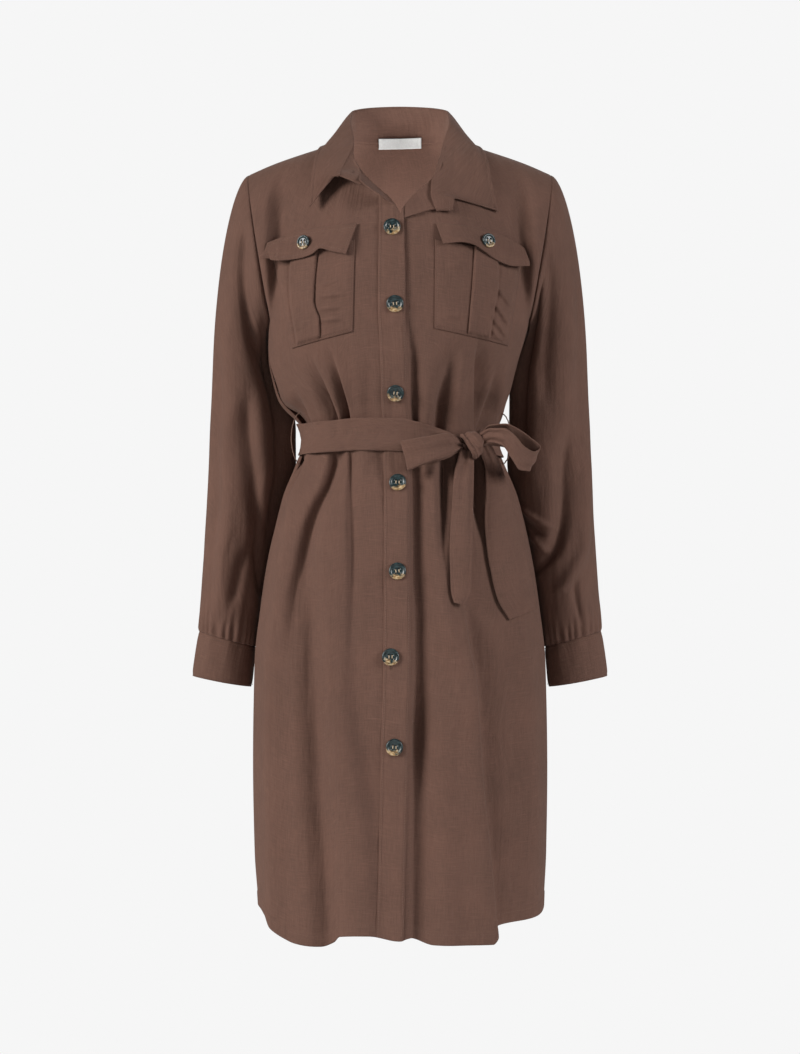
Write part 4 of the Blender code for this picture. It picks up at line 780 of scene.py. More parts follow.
def sleeve_crease_list(side):
    """The sleeve's own creases and its seeded fine ones."""
    draw = random.Random(5 + side)
    found = list(SLEEVE_CREASES[side])
    for _ in range(SOFT_SLEEVE_CREASES):
        turn, z = draw.uniform(0, 360), draw.uniform(-480, -90)
        long = draw.uniform(70, 170)
        wide = draw.uniform(4, 10)
        middle, foot = turn + draw.uniform(-9, 9), turn + draw.uniform(-16, 16)
        line = ((turn, z), (middle, z - long * 0.5), (foot, z - long))
        depth, fade = draw.uniform(0.3, 0.9) * draw.choice((-1, 1)), long * 0.45
        found.append(SleeveCrease(wide, wide, depth, fade, fade, line))
    return found


FACE_CREASES = {face: crease_list(face) for face in CREASES}


def faded(crease, z, top, foot):
    """How much of a crease is there at each height: it runs out at both ends."""
    from_foot = smooth_step((z - foot) / (crease.fade_foot * MM))
    return smooth_step((top - z) / (crease.fade_top * MM)) * from_foot


def crease_height(face, x, z):
    total = np.zeros_like(x)
    for crease in FACE_CREASES[face]:
        line = np.array(crease.line, float) * MM
        top, foot = line[0, 1], line[-1, 1]
        near = (z < top) & (z > foot)
        if not near.any():
            continue
        xs, zs = x[near], z[near]
        off = xs - through(line[:, 1], line[:, 0], zs)
        width = np.where(off < 0, crease.left, crease.right) * MM
        total[near] += crease.depth * MM * faded(crease, zs, top, foot) * bell(off, width)
    return total


def gather_height(angle, z):
    """Small irregular pleats above and below the belt, weaker in front."""
    rise = np.where(z > BELT_Z, (z - BELT_Z) / GATHER_RISE, (BELT_Z - z) / GATHER_FALL)
    fade = 1.0 - smooth_step(rise)
    from_edge = (np.abs(z - BELT_Z) - 0.3 * BELT_WIDTH) / (0.5 * BELT_WIDTH)
    under_belt = 0.35 + 0.65 * smooth_step(from_edge)
    wave = np.sin(GATHERS * angle + 1.4 * np.sin(3 * angle) + 0.8 * np.sin(7 * angle + 1.0))
    aside = smooth_step((np.abs(angle) - 1.2) / 0.4)
    return GATHER_DEPTH * fade * under_belt * wave * (FRONT_GATHERS + (1 - FRONT_GATHERS) * aside)


def swell_height(angle, z):
    t = (SWELL.z_top - z) / (SWELL.z_top - SWELL.z_foot)
    ends = smooth_step(t / 0.45) * smooth_step((1.0 - t) / 0.35)
    off = (np.degrees(angle) - SWELL.angle + 180.0) % 360.0 - 180.0
    spread = np.where(off * np.sign(SWELL.angle) < 0, SWELL.spread_front, SWELL.spread_back)
    return SWELL.depth * ends * bell(off, spread)


def body(face, share, v, out=0.0, folds=1.0):
    """Points of the cloth with its folds, moved out by out."""
    base = base_surface(face, share, v)
    x, z = base[..., 0], base[..., 2]
    angle = np.asarray(share) * math.pi / 2.0 + np.zeros_like(x)
    if face == "back":
        angle = np.sign(angle + 1e-12) * math.pi - angle
    calm = 1.0 - smooth_step((np.asarray(v) - 1.25) / 0.4)
    height = (gather_height(angle, z) + crease_height(face, x, z)) * calm * folds
    swell = swell_height(angle, z) * (1.0 - smooth_step(np.asarray(v) - 1.0))
    return base + normals(face, share, v) * (height + swell + out)[..., None]


def find(face, x, z):
    """The share and v at which the body shows at x and z when seen from in front or behind."""
    x, z = np.broadcast_arrays(np.asarray(x, float), np.asarray(z, float))
    share = share_at(x, np.maximum(z, CHEST_Z))
    low = hem_z(face, share)
    v = np.where(z < CHEST_Z, (z - low) / (CHEST_Z - low), 1.0 + (z - CHEST_Z) / 0.18)
    step, rounds = 0.003, 14
    for _ in range(rounds):
        here = base_surface(face, share, v)
        by_share = (base_surface(face, share + step, v) - here) / step
        by_v = (base_surface(face, share, v + step) - here) / step
        dx, dz = x - here[..., 0], z - here[..., 2]
        flat = by_share[..., 0] * by_v[..., 2] - by_share[..., 2] * by_v[..., 0]
        flat = np.where(np.abs(flat) < 1e-7, 1e-7, flat)
        more_share = np.clip((dx * by_v[..., 2] - dz * by_v[..., 0]) / flat, -0.1, 0.1)
        more_v = np.clip((dz * by_share[..., 0] - dx * by_share[..., 2]) / flat, -0.2, 0.2)
        share, v = np.clip(share + more_share, -0.985, 0.985), np.clip(v + more_v, 0.0, 1.985)
    return share, v


def on_body(face, x, z, out=0.0, folds=1.0):
    """Points that show at x and z and lie out from the cloth."""
    x, z, out = np.broadcast_arrays(*(np.asarray(value, float) for value in (x, z, out)))
    aim_x, aim_z = x.copy(), z.copy()
    for _ in range(5):
        share, v = find(face, aim_x, aim_z)
        points = body(face, share, v, out, folds)
        aim_x = aim_x + 0.8 * (x - points[..., 0])
        aim_z = aim_z + 0.8 * (z - points[..., 2])
    return points


def on_front(x, z, out):
    """The same in front, with the cloth's outward directions."""
    return on_body("front", x, z, out), normals("front", *find("front", x, z))


# ---- Materials ----

CLOTH_COLOUR = (0.137, 0.0726, 0.0535)
BAND_COLOUR = (0.142, 0.0755, 0.0556)
THREAD_COLOUR = (0.175, 0.100, 0.075)
BUTTON_THREAD_COLOUR = (0.56, 0.45, 0.32)
TAPE_COLOUR = (0.78, 0.79, 0.78)
THREAD_PITCH = 0.00052  # from one thread of the weave to the next
DARK_RESIN = ((0.004, 0.011, 0.012, 1.0), (0.024, 0.050, 0.054, 1.0))
AMBER_RESIN = ((0.30, 0.17, 0.065, 1.0), (0.60, 0.45, 0.26, 1.0))


class Nodes:
    """A small helper that adds shader nodes and links what it is given."""

    def __init__(self, name):
        self.material = bpy.data.materials.new(name)
        self.material.use_nodes = True
        self.tree = self.material.node_tree
        self.shader = self.tree.nodes["Principled BSDF"]

    def put(self, socket, value):
        if isinstance(value, bpy.types.NodeSocket):
            self.tree.links.new(value, socket)
        else:
            socket.default_value = value

    def surface(self, inputs):
        for key, value in inputs.items():
            self.put(self.shader.inputs[key], value)

    def add(self, kind, inputs=(), **settings):
        made = self.tree.nodes.new("ShaderNode" + kind)
        for key, value in settings.items():
            setattr(made, key, value)
        for key, value in dict(inputs).items():
            self.put(made.inputs[key], value)
        return made

    def math(self, operation, first, second=0.0):
        return self.add("Math", {0: first, 1: second}, operation=operation).outputs[0]

    def total(self, *terms):
        """The sum of its terms; a pair is a value and what it is multiplied by."""
        values = [self.math("MULTIPLY", *term) if isinstance(term, tuple) else term
                  for term in terms]
        found = values[0]
        for value in values[1:]:
            found = self.math("ADD", found, value)
        return found

    def uv(self, name):
        return self.add("UVMap", uv_map=name).outputs["UV"]

    def part(self, vector, axis):
        return self.add("SeparateXYZ", {"Vector": vector}).outputs[axis]

    def ribs(self, vector, axis, pitch):
        turns = self.math("MULTIPLY", self.part(vector, axis), 2 * math.pi / pitch)
        return self.math("SINE", turns)

    def noise(self, vector, scale, detail=2.0, roughness=0.5):
        inputs = {"Vector": vector, "Scale": scale, "Detail": detail, "Roughness": roughness}
        return self.add("TexNoise", inputs).outputs["Fac"]

    def streaks(self, vector, across, up, detail, roughness):
        """Noise whose scale differs between the two directions of a UV map."""
        scaled = self.add("Mapping", {"Vector": vector, "Scale": (across, up, 1)}).outputs["Vector"]
        return self.noise(scaled, 1.0, detail, roughness)

    def span(self, value, to_low, to_high, low=0.3, high=0.7):
        inputs = {"From Min": low, "From Max": high, "To Min": to_low, "To Max": to_high}
        return self.add("MapRange", {"Value": value, **inputs}).outputs["Result"]

    def mix(self, factor, first, second):
        made = self.add("Mix", {"Factor": factor}, data_type="RGBA")
        self.put(made.inputs[6], first)
        self.put(made.inputs[7], second)
        return made.outputs[2]

    def scaled(self, colour, factor):
        made = self.add("VectorMath", {0: colour, "Scale": factor}, operation="SCALE")
        return made.outputs["Vector"]

    def bump(self, height, strength, distance, **inputs):
        inputs = {"Height": height, "Strength": strength, "Distance": distance, **inputs}
        return self.add("Bump", inputs).outputs["Normal"]


def cloth_material(name, colour):
    """Plain weave with slubs both ways, in the real size of the UV map Weave."""
    n = Nodes(name)
    flat = n.uv("Weave")
    solid = n.add("TexCoord").outputs["Object"]
    weave = n.math("MULTIPLY", n.ribs(flat, "X", THREAD_PITCH), n.ribs(flat, "Y", THREAD_PITCH))
    weft_slub = n.streaks(flat, 70, 820, 3.0, 0.6)
    warp_slub = n.streaks(flat, 900, 60, 3.0, 0.6)
    thick_slub = n.streaks(flat, 38, 520, 1.0, 0.5)
    mottle = n.noise(solid, 26.0, 3.0, 0.55)
    patch = n.noise(solid, 7.0, 2.0, 0.5)
    shade = n.total(
        n.span(weft_slub, -0.11, 0.11), n.span(warp_slub, -0.09, 0.09),
        n.span(thick_slub, 0.0, 0.16, 0.62, 0.78), n.span(mottle, -0.050, 0.050),
        n.span(patch, -0.050, 0.050), (weave, 0.05), 1.0,
    )
    warmer = (colour[0] * 1.02, colour[1] * 0.97, colour[2] * 0.95, 1.0)
    base = n.mix(n.span(mottle, 0.0, 0.35, 0.35), (*colour, 1.0), warmer)
    threads = n.total((weave, 0.30), (weft_slub, 0.9), (warp_slub, 0.8))
    crumple = n.total(n.noise(solid, 60.0, 3.0, 0.6), (n.noise(solid, 24.0, 2.0, 0.5), 1.6),
                      (n.streaks(flat, 120, 11, 2.0, 0.5), 1.2))
    fine = n.bump(threads, 0.55, 0.00022)
    n.surface({
        "Base Color": n.scaled(base, shade), "Roughness": n.span(weft_slub, 0.80, 0.92),
        "Specular IOR Level": 0.22, "Sheen Weight": 0.10, "Sheen Roughness": 0.45,
        "Sheen Tint": (0.85, 0.66, 0.56, 1.0),
        "Normal": n.bump(crumple, 0.55, 0.0016, Normal=fine),
    })
    return n.material


def button_material(name):
    """Polished resin: near-black green, streaked, with an amber band through its lower edge."""
    n = Nodes(name)
    spot = n.uv("Marble")
    streak = n.streaks(spot, 6, 13, 3.0, 0.6)
    low = n.total((n.part(spot, "Y"), -2.5), n.span(n.noise(spot, 5.0, 3.0, 0.55), -0.45, 0.45))
    dark = n.mix(n.span(streak, 0.0, 1.0, 0.42, 0.64), *DARK_RESIN)
    light = n.mix(n.span(streak, 0.0, 1.0, 0.42, 0.60), *AMBER_RESIN)
    n.surface({
        "Base Color": n.mix(n.span(low, 0.0, 1.0, 0.30, 0.75), dark, light),
        "Roughness": n.span(streak, 0.30, 0.42), "Coat Weight": 0.15, "Coat Roughness": 0.28,
    })
    return n.material


def plain_material(name, colour, roughness, pitch):
    """Thread or woven tape: one colour with a fine grain."""
    n = Nodes(name)
    flat = n.uv("Weave")
    fleck = n.streaks(flat, 1500, 420, 3.0, 0.6)
    n.surface({
        "Base Color": n.scaled(colour, n.span(fleck, 0.90, 1.08)),
        "Roughness": n.span(fleck, roughness - 0.05, roughness + 0.05), "Specular IOR Level": 0.3,
        "Normal": n.bump(n.total((n.ribs(flat, "Y", pitch), 0.4), fleck), 0.4, 0.0002),
    })
    return n.material


MAIN_CLOTH = cloth_material("cloth_weave", CLOTH_COLOUR)
BAND_CLOTH = cloth_material("band_weave", BAND_COLOUR)
RESIN = button_material("button_resin")
TAPE = plain_material("label_tape_weave", TAPE_COLOUR, 0.7, 0.0006)
THREAD = plain_material("sewing_thread", THREAD_COLOUR, 0.6, 0.0008)
BUTTON_THREAD = plain_material("button_thread", BUTTON_THREAD_COLOUR, 0.6, 0.0008)


# ---- Making pieces ----

PIECES = bpy.data.collections.new("dress_pieces")
bpy.context.scene.collection.children.link(PIECES)


def add_object(name, data, material, nodes=()):
    item = bpy.data.objects.new(name, data)
    data.materials.append(material)
    PIECES.objects.link(item)
    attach(item, "root")
    if nodes:
        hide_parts(*nodes)
    return item


def cloth_piece(node, grid, held, material=MAIN_CLOTH, closed=False, wall=CLOTH, extra=False):
    """A sheet through a grid of points, woven in its real size, with the wall's thickness.

    held is not used.
    """
    whole = np.concatenate([grid, grid[:, :1]], axis=1) if closed else grid
    count = grid.shape[1]
    across = count if closed else count - 1
    i, j = np.meshgrid(np.arange(len(grid) - 1), np.arange(across), indexing="ij")
    k, row, above = (j + 1) % count, i * count, (i + 1) * count
    faces = np.stack([row + j, row + k, above + k, above + j], -1)
    mesh = bpy.data.meshes.new(node + "_cloth")
    mesh.from_pydata(grid.reshape(-1, 3).tolist(), [], faces.reshape(-1, 4).tolist())
    u, v = arc_lengths(whole, 1), arc_lengths(whole, 0)
    corners = ((i, j), (i, j + 1), (i + 1, j + 1), (i + 1, j))
    uv = np.stack([np.stack([u[a, b], v[a, b]], -1) for a, b in corners], axis=2)
    mesh.uv_layers.new(name="Weave").data.foreach_set("uv", uv.astype(np.float32).ravel())
    mesh.shade_smooth()
    item = add_object(node + "_cloth", mesh, material, () if extra else (node,))
    thick = item.modifiers.new("Cloth", "SOLIDIFY")
    thick.thickness, thick.offset = wall, 0.0
    width, length = round(float(u[:, -1].max()), 3), round(float(v[-1].max()), 3)
    area = sum(polygon.area for polygon in mesh.polygons)
    area = min(round(area, 4), width * length)


# ---- Panels ----

HEM_SHARE = 0.035  # share of the panel's height with the closest rows
UNDER_BAND = 0.0030  # how far inside the top band's left edge the right panel starts
BESIDE_BAND = -0.0020  # where the left panel starts and the under band ends


def seam_dip(grid, edges, depth=0.0007, width=0.0022):
    """How far the cloth sinks beside its sewn edges."""
    away = edge_distances(grid)
    return -depth * sum(bell(away[edge], width) for edge in edges)


def panel_rows():
    """Rows up a panel, closest together in the turned hem."""
    hem = HEM_SHARE * steps(ROWS_IN_HEM)[:-1]
    below = HEM_SHARE + (1.0 - HEM_SHARE) * steps(ROWS_BELOW_CHEST)
    return np.concatenate([hem, below, 1.0 + steps(ROWS_ABOVE_CHEST)[1:]])


def front_edge_share(z, offset):
    """Share of the line that runs offset to the side of the top band's right-hand edge."""
    height = np.minimum(z, CHEST_Z)
    return share_at(columns(PLACKET_EDGE, "x", height)[0] + offset, height)


def panel_heights(v):
    low = hem_z("front", 0.0)
    return low + (CHEST_Z - low) * np.minimum(v, 1.0)


def panel(face, share, v, edges):
    """Part of the front or back. The turned hem is thicker, with a groove at its stitching."""
    above = base_surface(face, share, v)[..., 2] - hem_z(face, share) - HEM_TURN
    fold = 0.0007 * (1.0 - smooth_step((above + 0.001) / 0.0016))
    grid = body(face, share, v, fold - 0.0004 * bell(above + HEM_STITCH, 0.0012))
    return grid + normals(face, share, v) * seam_dip(grid, edges)[..., None]


def front_panel(side):
    """side is +1 for the wearer's left. Both panels start under the top band."""
    v = panel_rows()
    offset = BESIDE_BAND if side > 0 else UNDER_BAND - PLACKET_WIDTH
    start = side * front_edge_share(panel_heights(v), offset)[:, None]
    share = side * (start + (1.0 - start) * steps(FRONT_COLUMNS)[None, :])
    return panel("front", share, v[:, None] + 0 * share, "ne")


def back_panel():
    v = panel_rows()[:, None]
    share = np.linspace(-1.0, 1.0, BACK_COLUMNS + 1)[None, :] + 0 * v
    return panel("back", share, v + 0 * share, "nwe")


def band(left, right, out, count, grooves=()):
    """A strip down the front between two lines beside the top band's right-hand edge."""
    v = panel_rows()
    z = panel_heights(v)
    first, last = front_edge_share(z, left), front_edge_share(z, right)
    share = first[:, None] + (last - first)[:, None] * steps(count)[None, :]
    across = (left + (right - left) * steps(count))[None, :]
    laid = smooth_step((across - left) / 0.009) if out > 0 else 1.0
    height = out * laid + BAND_EDGE_OUT * (1.0 - laid)
    height = height - 0.0003 * sum(bell(across - groove, 0.0011) for groove in grooves)
    rim = 0.0007
    for inside in (across - left, right - across):
        rim = rim * (1 - np.exp(-(inside / 0.0012)))
    wave = 0.0003 * np.sin(z[:, None] * 61.0 + 1.3) + 0.00025 * np.sin(z[:, None] * 143.0)
    edge = 0.0006 * smooth_step((across - left) / (right - left) * 2.0 - 1.0)
    height = height + rim + (wave + edge) * (out > 0)
    return body("front", share, v[:, None] + 0 * share, height)


def build_panels():
    cloth_piece("back", back_panel(), "hung")
    cloth_piece("front_left", front_panel(1), "hung")
    cloth_piece("front_right", front_panel(-1), "hung")
    under = band(0.0055 - PLACKET_WIDTH, BESIDE_BAND, 0.0, 14)
    cloth_piece("placket_left", under, "hung", BAND_CLOTH)
    grooves = (BAND_STITCH - PLACKET_WIDTH, -BAND_STITCH)
    top = band(-PLACKET_WIDTH, 0.0, BAND_OUT - 0.0007, 26, grooves)
    cloth_piece("placket_right", top, "hung", BAND_CLOTH)


# ---- Sleeves and cuffs ----

BODY_CLEARANCE = 0.0034  # between the sleeves and the body
BODY_REACH = 0.030  # parts of the body that are further away don't count
ARMHOLE_RIDGE = 0.0014  # how far the sleeve stands out beside the armhole's seam
ARMHOLE_RIDGE_FADE = 0.030  # and over what length down the sleeve that fades
ARMHOLE_HELD = 0.020  # length beside the armhole that keeps its place
CUFF_ROWS = 22
CUFF_PAD = 0.0010  # how far the doubled cuff swells between its edges
CUFF_GROOVE = 0.0004  # depth of the groove at a line of stitching


def body_tree(low, high, least):
    """Points of the fronts and back between two heights, with their outward directions."""
    wide = np.linspace(least, 1.0, 110)
    share, v = np.meshgrid(np.concatenate([-wide[::-1], wide]), np.linspace(low, high, 110))
    cloth, out, edge = [], [], []
    for face in ("front", "back"):
        cloth.append(body(face, share, v).reshape(-1, 3))
        out.append(normals(face, share, v).reshape(-1, 3))
        edge.append(((v > 1.999) & (np.abs(share) < NECK_SHARE)).reshape(-1))
    cloth, out, edge = (np.concatenate(parts) for parts in (cloth, out, edge))
    tree = KDTree(len(cloth))
    for index, point in enumerate(cloth):
        tree.insert(point, index)
    tree.balance()
    return tree, cloth, out, edge


def clear_of_body(points, clearance, found, reach=1.0):
    """Moves out the points that lie nearer to the fronts or the back than the clearance."""
    tree, cloth, out, edge = found
    moved = points.copy()
    for rounds in (4, 2, 1):
        push = np.zeros_like(moved)
        for at in np.ndindex(moved.shape[:2]):
            point = moved[at]
            near, away = tree.find(point)[1:]
            height = (point - cloth[near]) @ out[near]
            if height < clearance and away < reach and not edge[near]:
                push[at] = out[near] * (clearance - height)
        moved = moved + evened(push, rounds)
    return moved


def sleeve_rings(side, angle):
    """The sleeve's rings below its cap."""
    t = steps(SLEEVE_ROWS)[:, None]
    done = t * (1.35 - 0.35 * t)  # the rings get closer together near the cuff
    z = SLEEVES[0].z + (SLEEVES[-1].z - SLEEVES[0].z) * done
    inner_name = "inner_left" if side > 0 else "inner_right"
    outer, inner, deep, middle = columns(SLEEVES, f"outer {inner_name} half_depth y_middle", z)
    c, s = np.cos(angle)[None, :], np.sin(angle)[None, :]
    x = (outer + inner) / 2 + (outer - inner) / 2 * c
    return stack(x, middle - deep * s, z + SLEEVE_TILT * done * done * c)


def sleeve(side):
    """Rings from the armhole down into the cuff."""
    t = 2.0 - steps(ARMHOLE_STEPS)
    front, back = (base_surface(face, np.ones_like(t), t) for face in ("front", "back"))
    armhole = np.concatenate([front, back[-2:0:-1]])
    count = len(armhole)
    angle = np.arange(count) * 2 * math.pi / count
    c, s = np.cos(angle), np.sin(angle)
    below = sleeve_rings(side, angle)
    leave = unit(stack(0.32 + 0.40 * c, -0.10 * s, -0.62 + 0.05 * c + 0.12 * c**2))
    reach = np.linalg.norm(below[0] - armhole, axis=-1, keepdims=True)
    first = armhole + leave * reach * (0.10 + 0.14 * (1 - c) / 2)[:, None]
    last = below[0] - unit(below[1] - below[0]) * reach * 0.50
    cap = [bezier(armhole, first, last, below[0], np.full(count, t)) for t in steps(CAP_ROWS)[:-1]]
    grid = fold_sleeve(np.concatenate([np.array(cap), below]), angle, side)
    beside = ((1.0 - c) / 2) ** 2
    fade = np.exp(-arc_lengths(grid, 0) / ARMHOLE_RIDGE_FADE)
    grid[..., 0] += ARMHOLE_RIDGE * beside[None, :] * fade
    grid = grid * np.array([side, 1.0, 1.0])
    held = 1.0 - smooth_step(arc_lengths(grid, 0) / ARMHOLE_HELD)
    free = clear_of_body(grid, BODY_CLEARANCE, body_tree(0.25, 1.6, 0.45), BODY_REACH)
    return free + (grid - free) * held[..., None]


def fold_sleeve(grid, angle, side):
    middle = grid.mean(axis=1, keepdims=True)
    outward = unit((grid - middle) * np.array([1.0, 1.0, 0.0]))
    z = grid[..., 2]
    degrees = np.degrees(angle)[None, :] + np.zeros_like(z)
    height = np.zeros_like(z)
    for crease in sleeve_crease_list(side):
        line = np.array(crease.line, float)
        heights = line[:, 1] * MM
        off = (degrees - through(heights, line[:, 0], z) + 180.0) % 360.0 - 180.0
        width = np.where(off < 0, crease.before, crease.after)
        height += crease.depth * MM * faded(crease, z, heights[0], heights[-1]) * bell(off, width)
    run = arc_lengths(grid, 0)
    height *= smooth_step(run / 0.022)
    rise = (z - SLEEVE_TILT * np.cos(angle) - SLEEVES[-1].z) / SLEEVE_GATHER_RISE
    turn = SLEEVE_GATHERS * angle + 1.1 * np.sin(3 * angle + side) + 0.9 * np.sin(8 * angle)
    long = 0.55 + 0.45 * np.sin(5 * angle + 2 * side)
    near_cuff = np.clip(1.0 - rise / (0.55 + 0.9 * long), 0, 1) ** 1.6
    near_cuff = near_cuff * smooth_step(0.35 + rise * 5.0)
    height += SLEEVE_GATHER_DEPTH * near_cuff * (0.35 + np.cos(turn))
    height -= 0.0008 * bell(run, 0.0022)
    return grid + outward * height[..., None]


def cuff_point(side, angle, share, out):
    """Points on a cuff: share 0 is its upper edge and 1 its foot."""
    names = "outer inner outer_z inner_z half_depth"
    outer, inner, outer_z, inner_z, deep = columns(CUFFS, names, share)
    x = (outer + inner) / 2 + ((outer - inner) / 2 + out) * np.cos(angle)
    y = SLEEVES[-1].y_middle - (deep + out) * np.sin(angle)
    z = (outer_z + inner_z) / 2 + (outer_z - inner_z) / 2 * np.cos(angle)
    return stack(side * x, y, z)


def cuff_lap(turn):
    """How far the overlapping end stands out."""
    return CUFF_LAP * smooth_step((turn - CUFF_OPEN + 14.0) / 12.0)


def cuff(side):
    """The cuff's band goes once round and on over its own end."""
    turn = np.linspace(CUFF_OPEN - 360.0, CUFF_OPEN + CUFF_OVERLAP, CUFF_COLUMNS + 1)[None, :]
    angle = np.radians(turn)
    share = steps(CUFF_ROWS)[:, None]
    under = 1.0 - smooth_step((turn - CUFF_OPEN + 360.0) / CUFF_OVERLAP / 1.5)
    groove = sum(bell(share - line, 0.022) for line in CUFF_STITCHES)
    ripple = 0.0005 * np.sin(angle * 9 + side) * (1 - share)
    ripple = ripple + 0.0008 * np.sin(angle * 3 + 1.0) * share
    pad = CUFF_PAD * (1 - (2 * share - 1) ** 6)
    out = cuff_lap(turn) - 0.0010 * under + ripple + pad - CUFF_GROOVE * groove
    return cuff_point(side, angle, share + 0 * turn, out)


def build_sleeves():
    for name, side in SIDES.items():
        cloth_piece("sleeve_" + name, sleeve(side), "hung", closed=True)
        cloth_piece("cuff_" + name, cuff(side), "folded")


# ---- Collar ----

ROLL_ROW = 40  # of the sections' rows; the seam is row 0, and the outer edge is as far again
COLLAR_STITCH = 0.0045  # from the fall's edge to its stitching
STAND_OVER = 0.004  # how far the stand goes on beyond the roll, under the fall
STAND_HELD = 0.008  # length beside the neck seam that keeps its place
STAND_TUCK = (0.0010, 0.0014)  # how far its foot lies inside and below the seam behind
FALL_START = 0.0010  # how far before the roll the fall starts
FACING_STAND = 0.0165  # how far the right facing's corner stands off the band
FACING_ROLL = 0.0011  # how far the left facing's folded edge swells
FACING_SHARES = (0.016, 0.185)  # where the left facing's upper edge lies along the neckline


def placed(spot, side):
    """A collar table's place on one side of the garment, in all three directions."""
    if isinstance(spot, Over):
        share, v = find("front", side * spot.x, spot.z)
        return np.array([side * spot.x, body("front", share, v)[1] - spot.clear, spot.z])
    return np.array(spot) * np.array([side, 1.0, 1.0])


def collar_lines():
    """Seam, roll, edge and lift from the right front round the back to the left front.

    They are sampled evenly along the collar.
    """
    given = [(row, -1) for row in reversed(COLLAR_BACK[1:] + COLLAR_RIGHT)]
    given += [(row, 1) for row in COLLAR_BACK + COLLAR_LEFT]
    lines = [np.array([placed(row[k], side) for row, side in given]) for k in range(3)]
    lengths = np.max([np.linalg.norm(np.diff(line, axis=0), axis=1) for line in lines], axis=0)
    run = np.concatenate([[0.0], np.cumsum(lengths)])
    at = np.linspace(0.0, run[-1], COLLAR_COLUMNS + 1)
    lift = through(run, [row.lift for row, _ in given], at)
    return [curve(line, at, run) for line in lines], lift


def collar_sections():
    """Points from the seam up to the roll and down to the outer edge, and how far along each is."""
    (seam, roll, edge), lift = collar_lines()
    outward = unit((edge - seam) * np.array([1.0, 1.0, 0.0]))
    proud = outward * 0.8 + np.array([0.0, 0.0, 0.5])
    found = []
    for t in np.linspace(0.0, 2.0, 2 * ROLL_ROW + 1):
        swell = (lift * math.sin(math.pi * (t % 1.0)))[:, None]
        if t <= 1.0:
            found.append(seam + (roll - seam) * t - outward * swell * 0.4)
        else:
            found.append(roll + (edge - roll) * (t - 1.0) + proud * swell)
    found = np.array(found)
    for _ in range(3):
        found[1:-1] = (found[:-2] + 2 * found[1:-1] + found[2:]) / 4
    return found, arc_lengths(found, 0)


def cut_section(points, run, start, stop, along):
    """The stretch of each section between two distances from the seam, at steps from 0 to 1."""
    grid = np.empty((len(along), points.shape[1], 3))
    for j, (first, last) in enumerate(zip(*np.broadcast_arrays(start, stop, run[0])[:2])):
        for k in range(3):
            grid[:, j, k] = np.interp(first + (last - first) * along, run[:, j], points[:, j, k])
    return grid


def edge_ridge(grid, edge, height=0.0005, width=COLLAR_STITCH):
    """A doubled edge: the cloth is thicker beside the seam inside it and dips at the stitching."""
    inside = edge_distances(grid)[edge] - width
    return height * (1 - smooth_step(inside / 0.001)) - 0.6 * height * bell(inside, GROOVE)


def build_collar():
    points, run = collar_sections()
    whole, roll = run[-1], run[ROLL_ROW]
    found = body_tree(1.3, 2.0, 0.0)
    sewn = cut_section(points, run, 0.0004, roll + STAND_OVER, steps(30))
    stand = clear_of_body(sewn, 2.0 * LAYER, found)
    # behind, its foot stays at the seam, tucked a little inside and below it
    held = 1 - smooth_step(arc_lengths(sewn, 0) / STAND_HELD)
    held = held * smooth_step((sewn[:1, :, 1] + 0.025) / 0.025)
    tuck = unit(sewn * np.array([-1.0, -1.0, 0.0])) * STAND_TUCK[0]
    tuck = tuck - np.array([0.0, 0.0, STAND_TUCK[1]])
    stand = stand + (sewn + tuck - stand) * held[..., None]
    cloth_piece("collar_stand", stand, "folded")
    fall = cut_section(points, run, roll - FALL_START, whole, steps(52) ** 1.1)
    fall = clear_of_body(fall, 0.9 * LAYER, found)
    down = arc_lengths(fall, 0)
    over = 0.25 + 0.75 * smooth_step(down / 0.012) * smooth_step((down[-1:] - down) / 0.012)
    fall = fall + grid_normals(fall) * (edge_ridge(fall, "n") + 0.8 * LAYER * over)[..., None]
    cloth_piece("collar_fall", fall, "folded")
    return stand, fall


def build_facings():
    """The top corners of the fronts' facings, rolled outward along the neckline."""
    x = np.linspace(FACING_TOP[0][0], FACING_TOP[0][-1], 56)
    top, depth = np.interp(x, *FACING_TOP), np.interp(x, *FACING_HEIGHT)
    stand = smooth_step((x - 0.009) / 0.016)
    t = 1 - steps(14)[:, None]
    out = BAND_OUT + 1.2 * LAYER + 0.0015 + FACING_STAND * t**1.2 * stand
    grid = on_body("front", -x, top - depth * t, out)
    cloth_piece("facing_right", grid, "folded", BAND_CLOTH)
    foot_x = np.linspace(FACING_FOOT[0][0], FACING_FOOT[0][-1], 50)
    share, v = find("front", foot_x, np.interp(foot_x, *FACING_FOOT))
    t = steps(26)[:, None]
    out = 1.3 * LAYER + FACING_ROLL * bell(t * 0.03, 0.006) * smooth_step(share[None, :] / 0.05)
    to_share = np.linspace(*FACING_SHARES, 50)
    grid = body("front", share + (to_share - share) * t, v + (1.997 - v) * t, out)
    cloth_piece("facing_left", grid, "folded", extra=True)


# ---- Pockets and flaps ----

POCKET_WIDTH = 0.098  # roughly, like the depth: they turn shares into distances from the edges
POCKET_DEPTH = 0.110
POCKET_FOLD = 0.0045  # width of the turned edge, which is thicker
POCKET_STITCH = 0.0030  # from its edge to the stitching
POCKET_FULLNESS = 0.0016  # how far the pocket's middle stands out
FLAP_WIDTH = 0.108  # these two as for the pocket
FLAP_DEPTH = 0.030
FLAP_COLUMNS = 96
FLAP_FREE_COLUMN = 56  # from here outwards the flap bridges the hollow beside the armhole
FLAP_TOP_STITCH = 0.0055  # from the flap's sewn edge to its stitching
BRIDGING_ROUNDS = 400


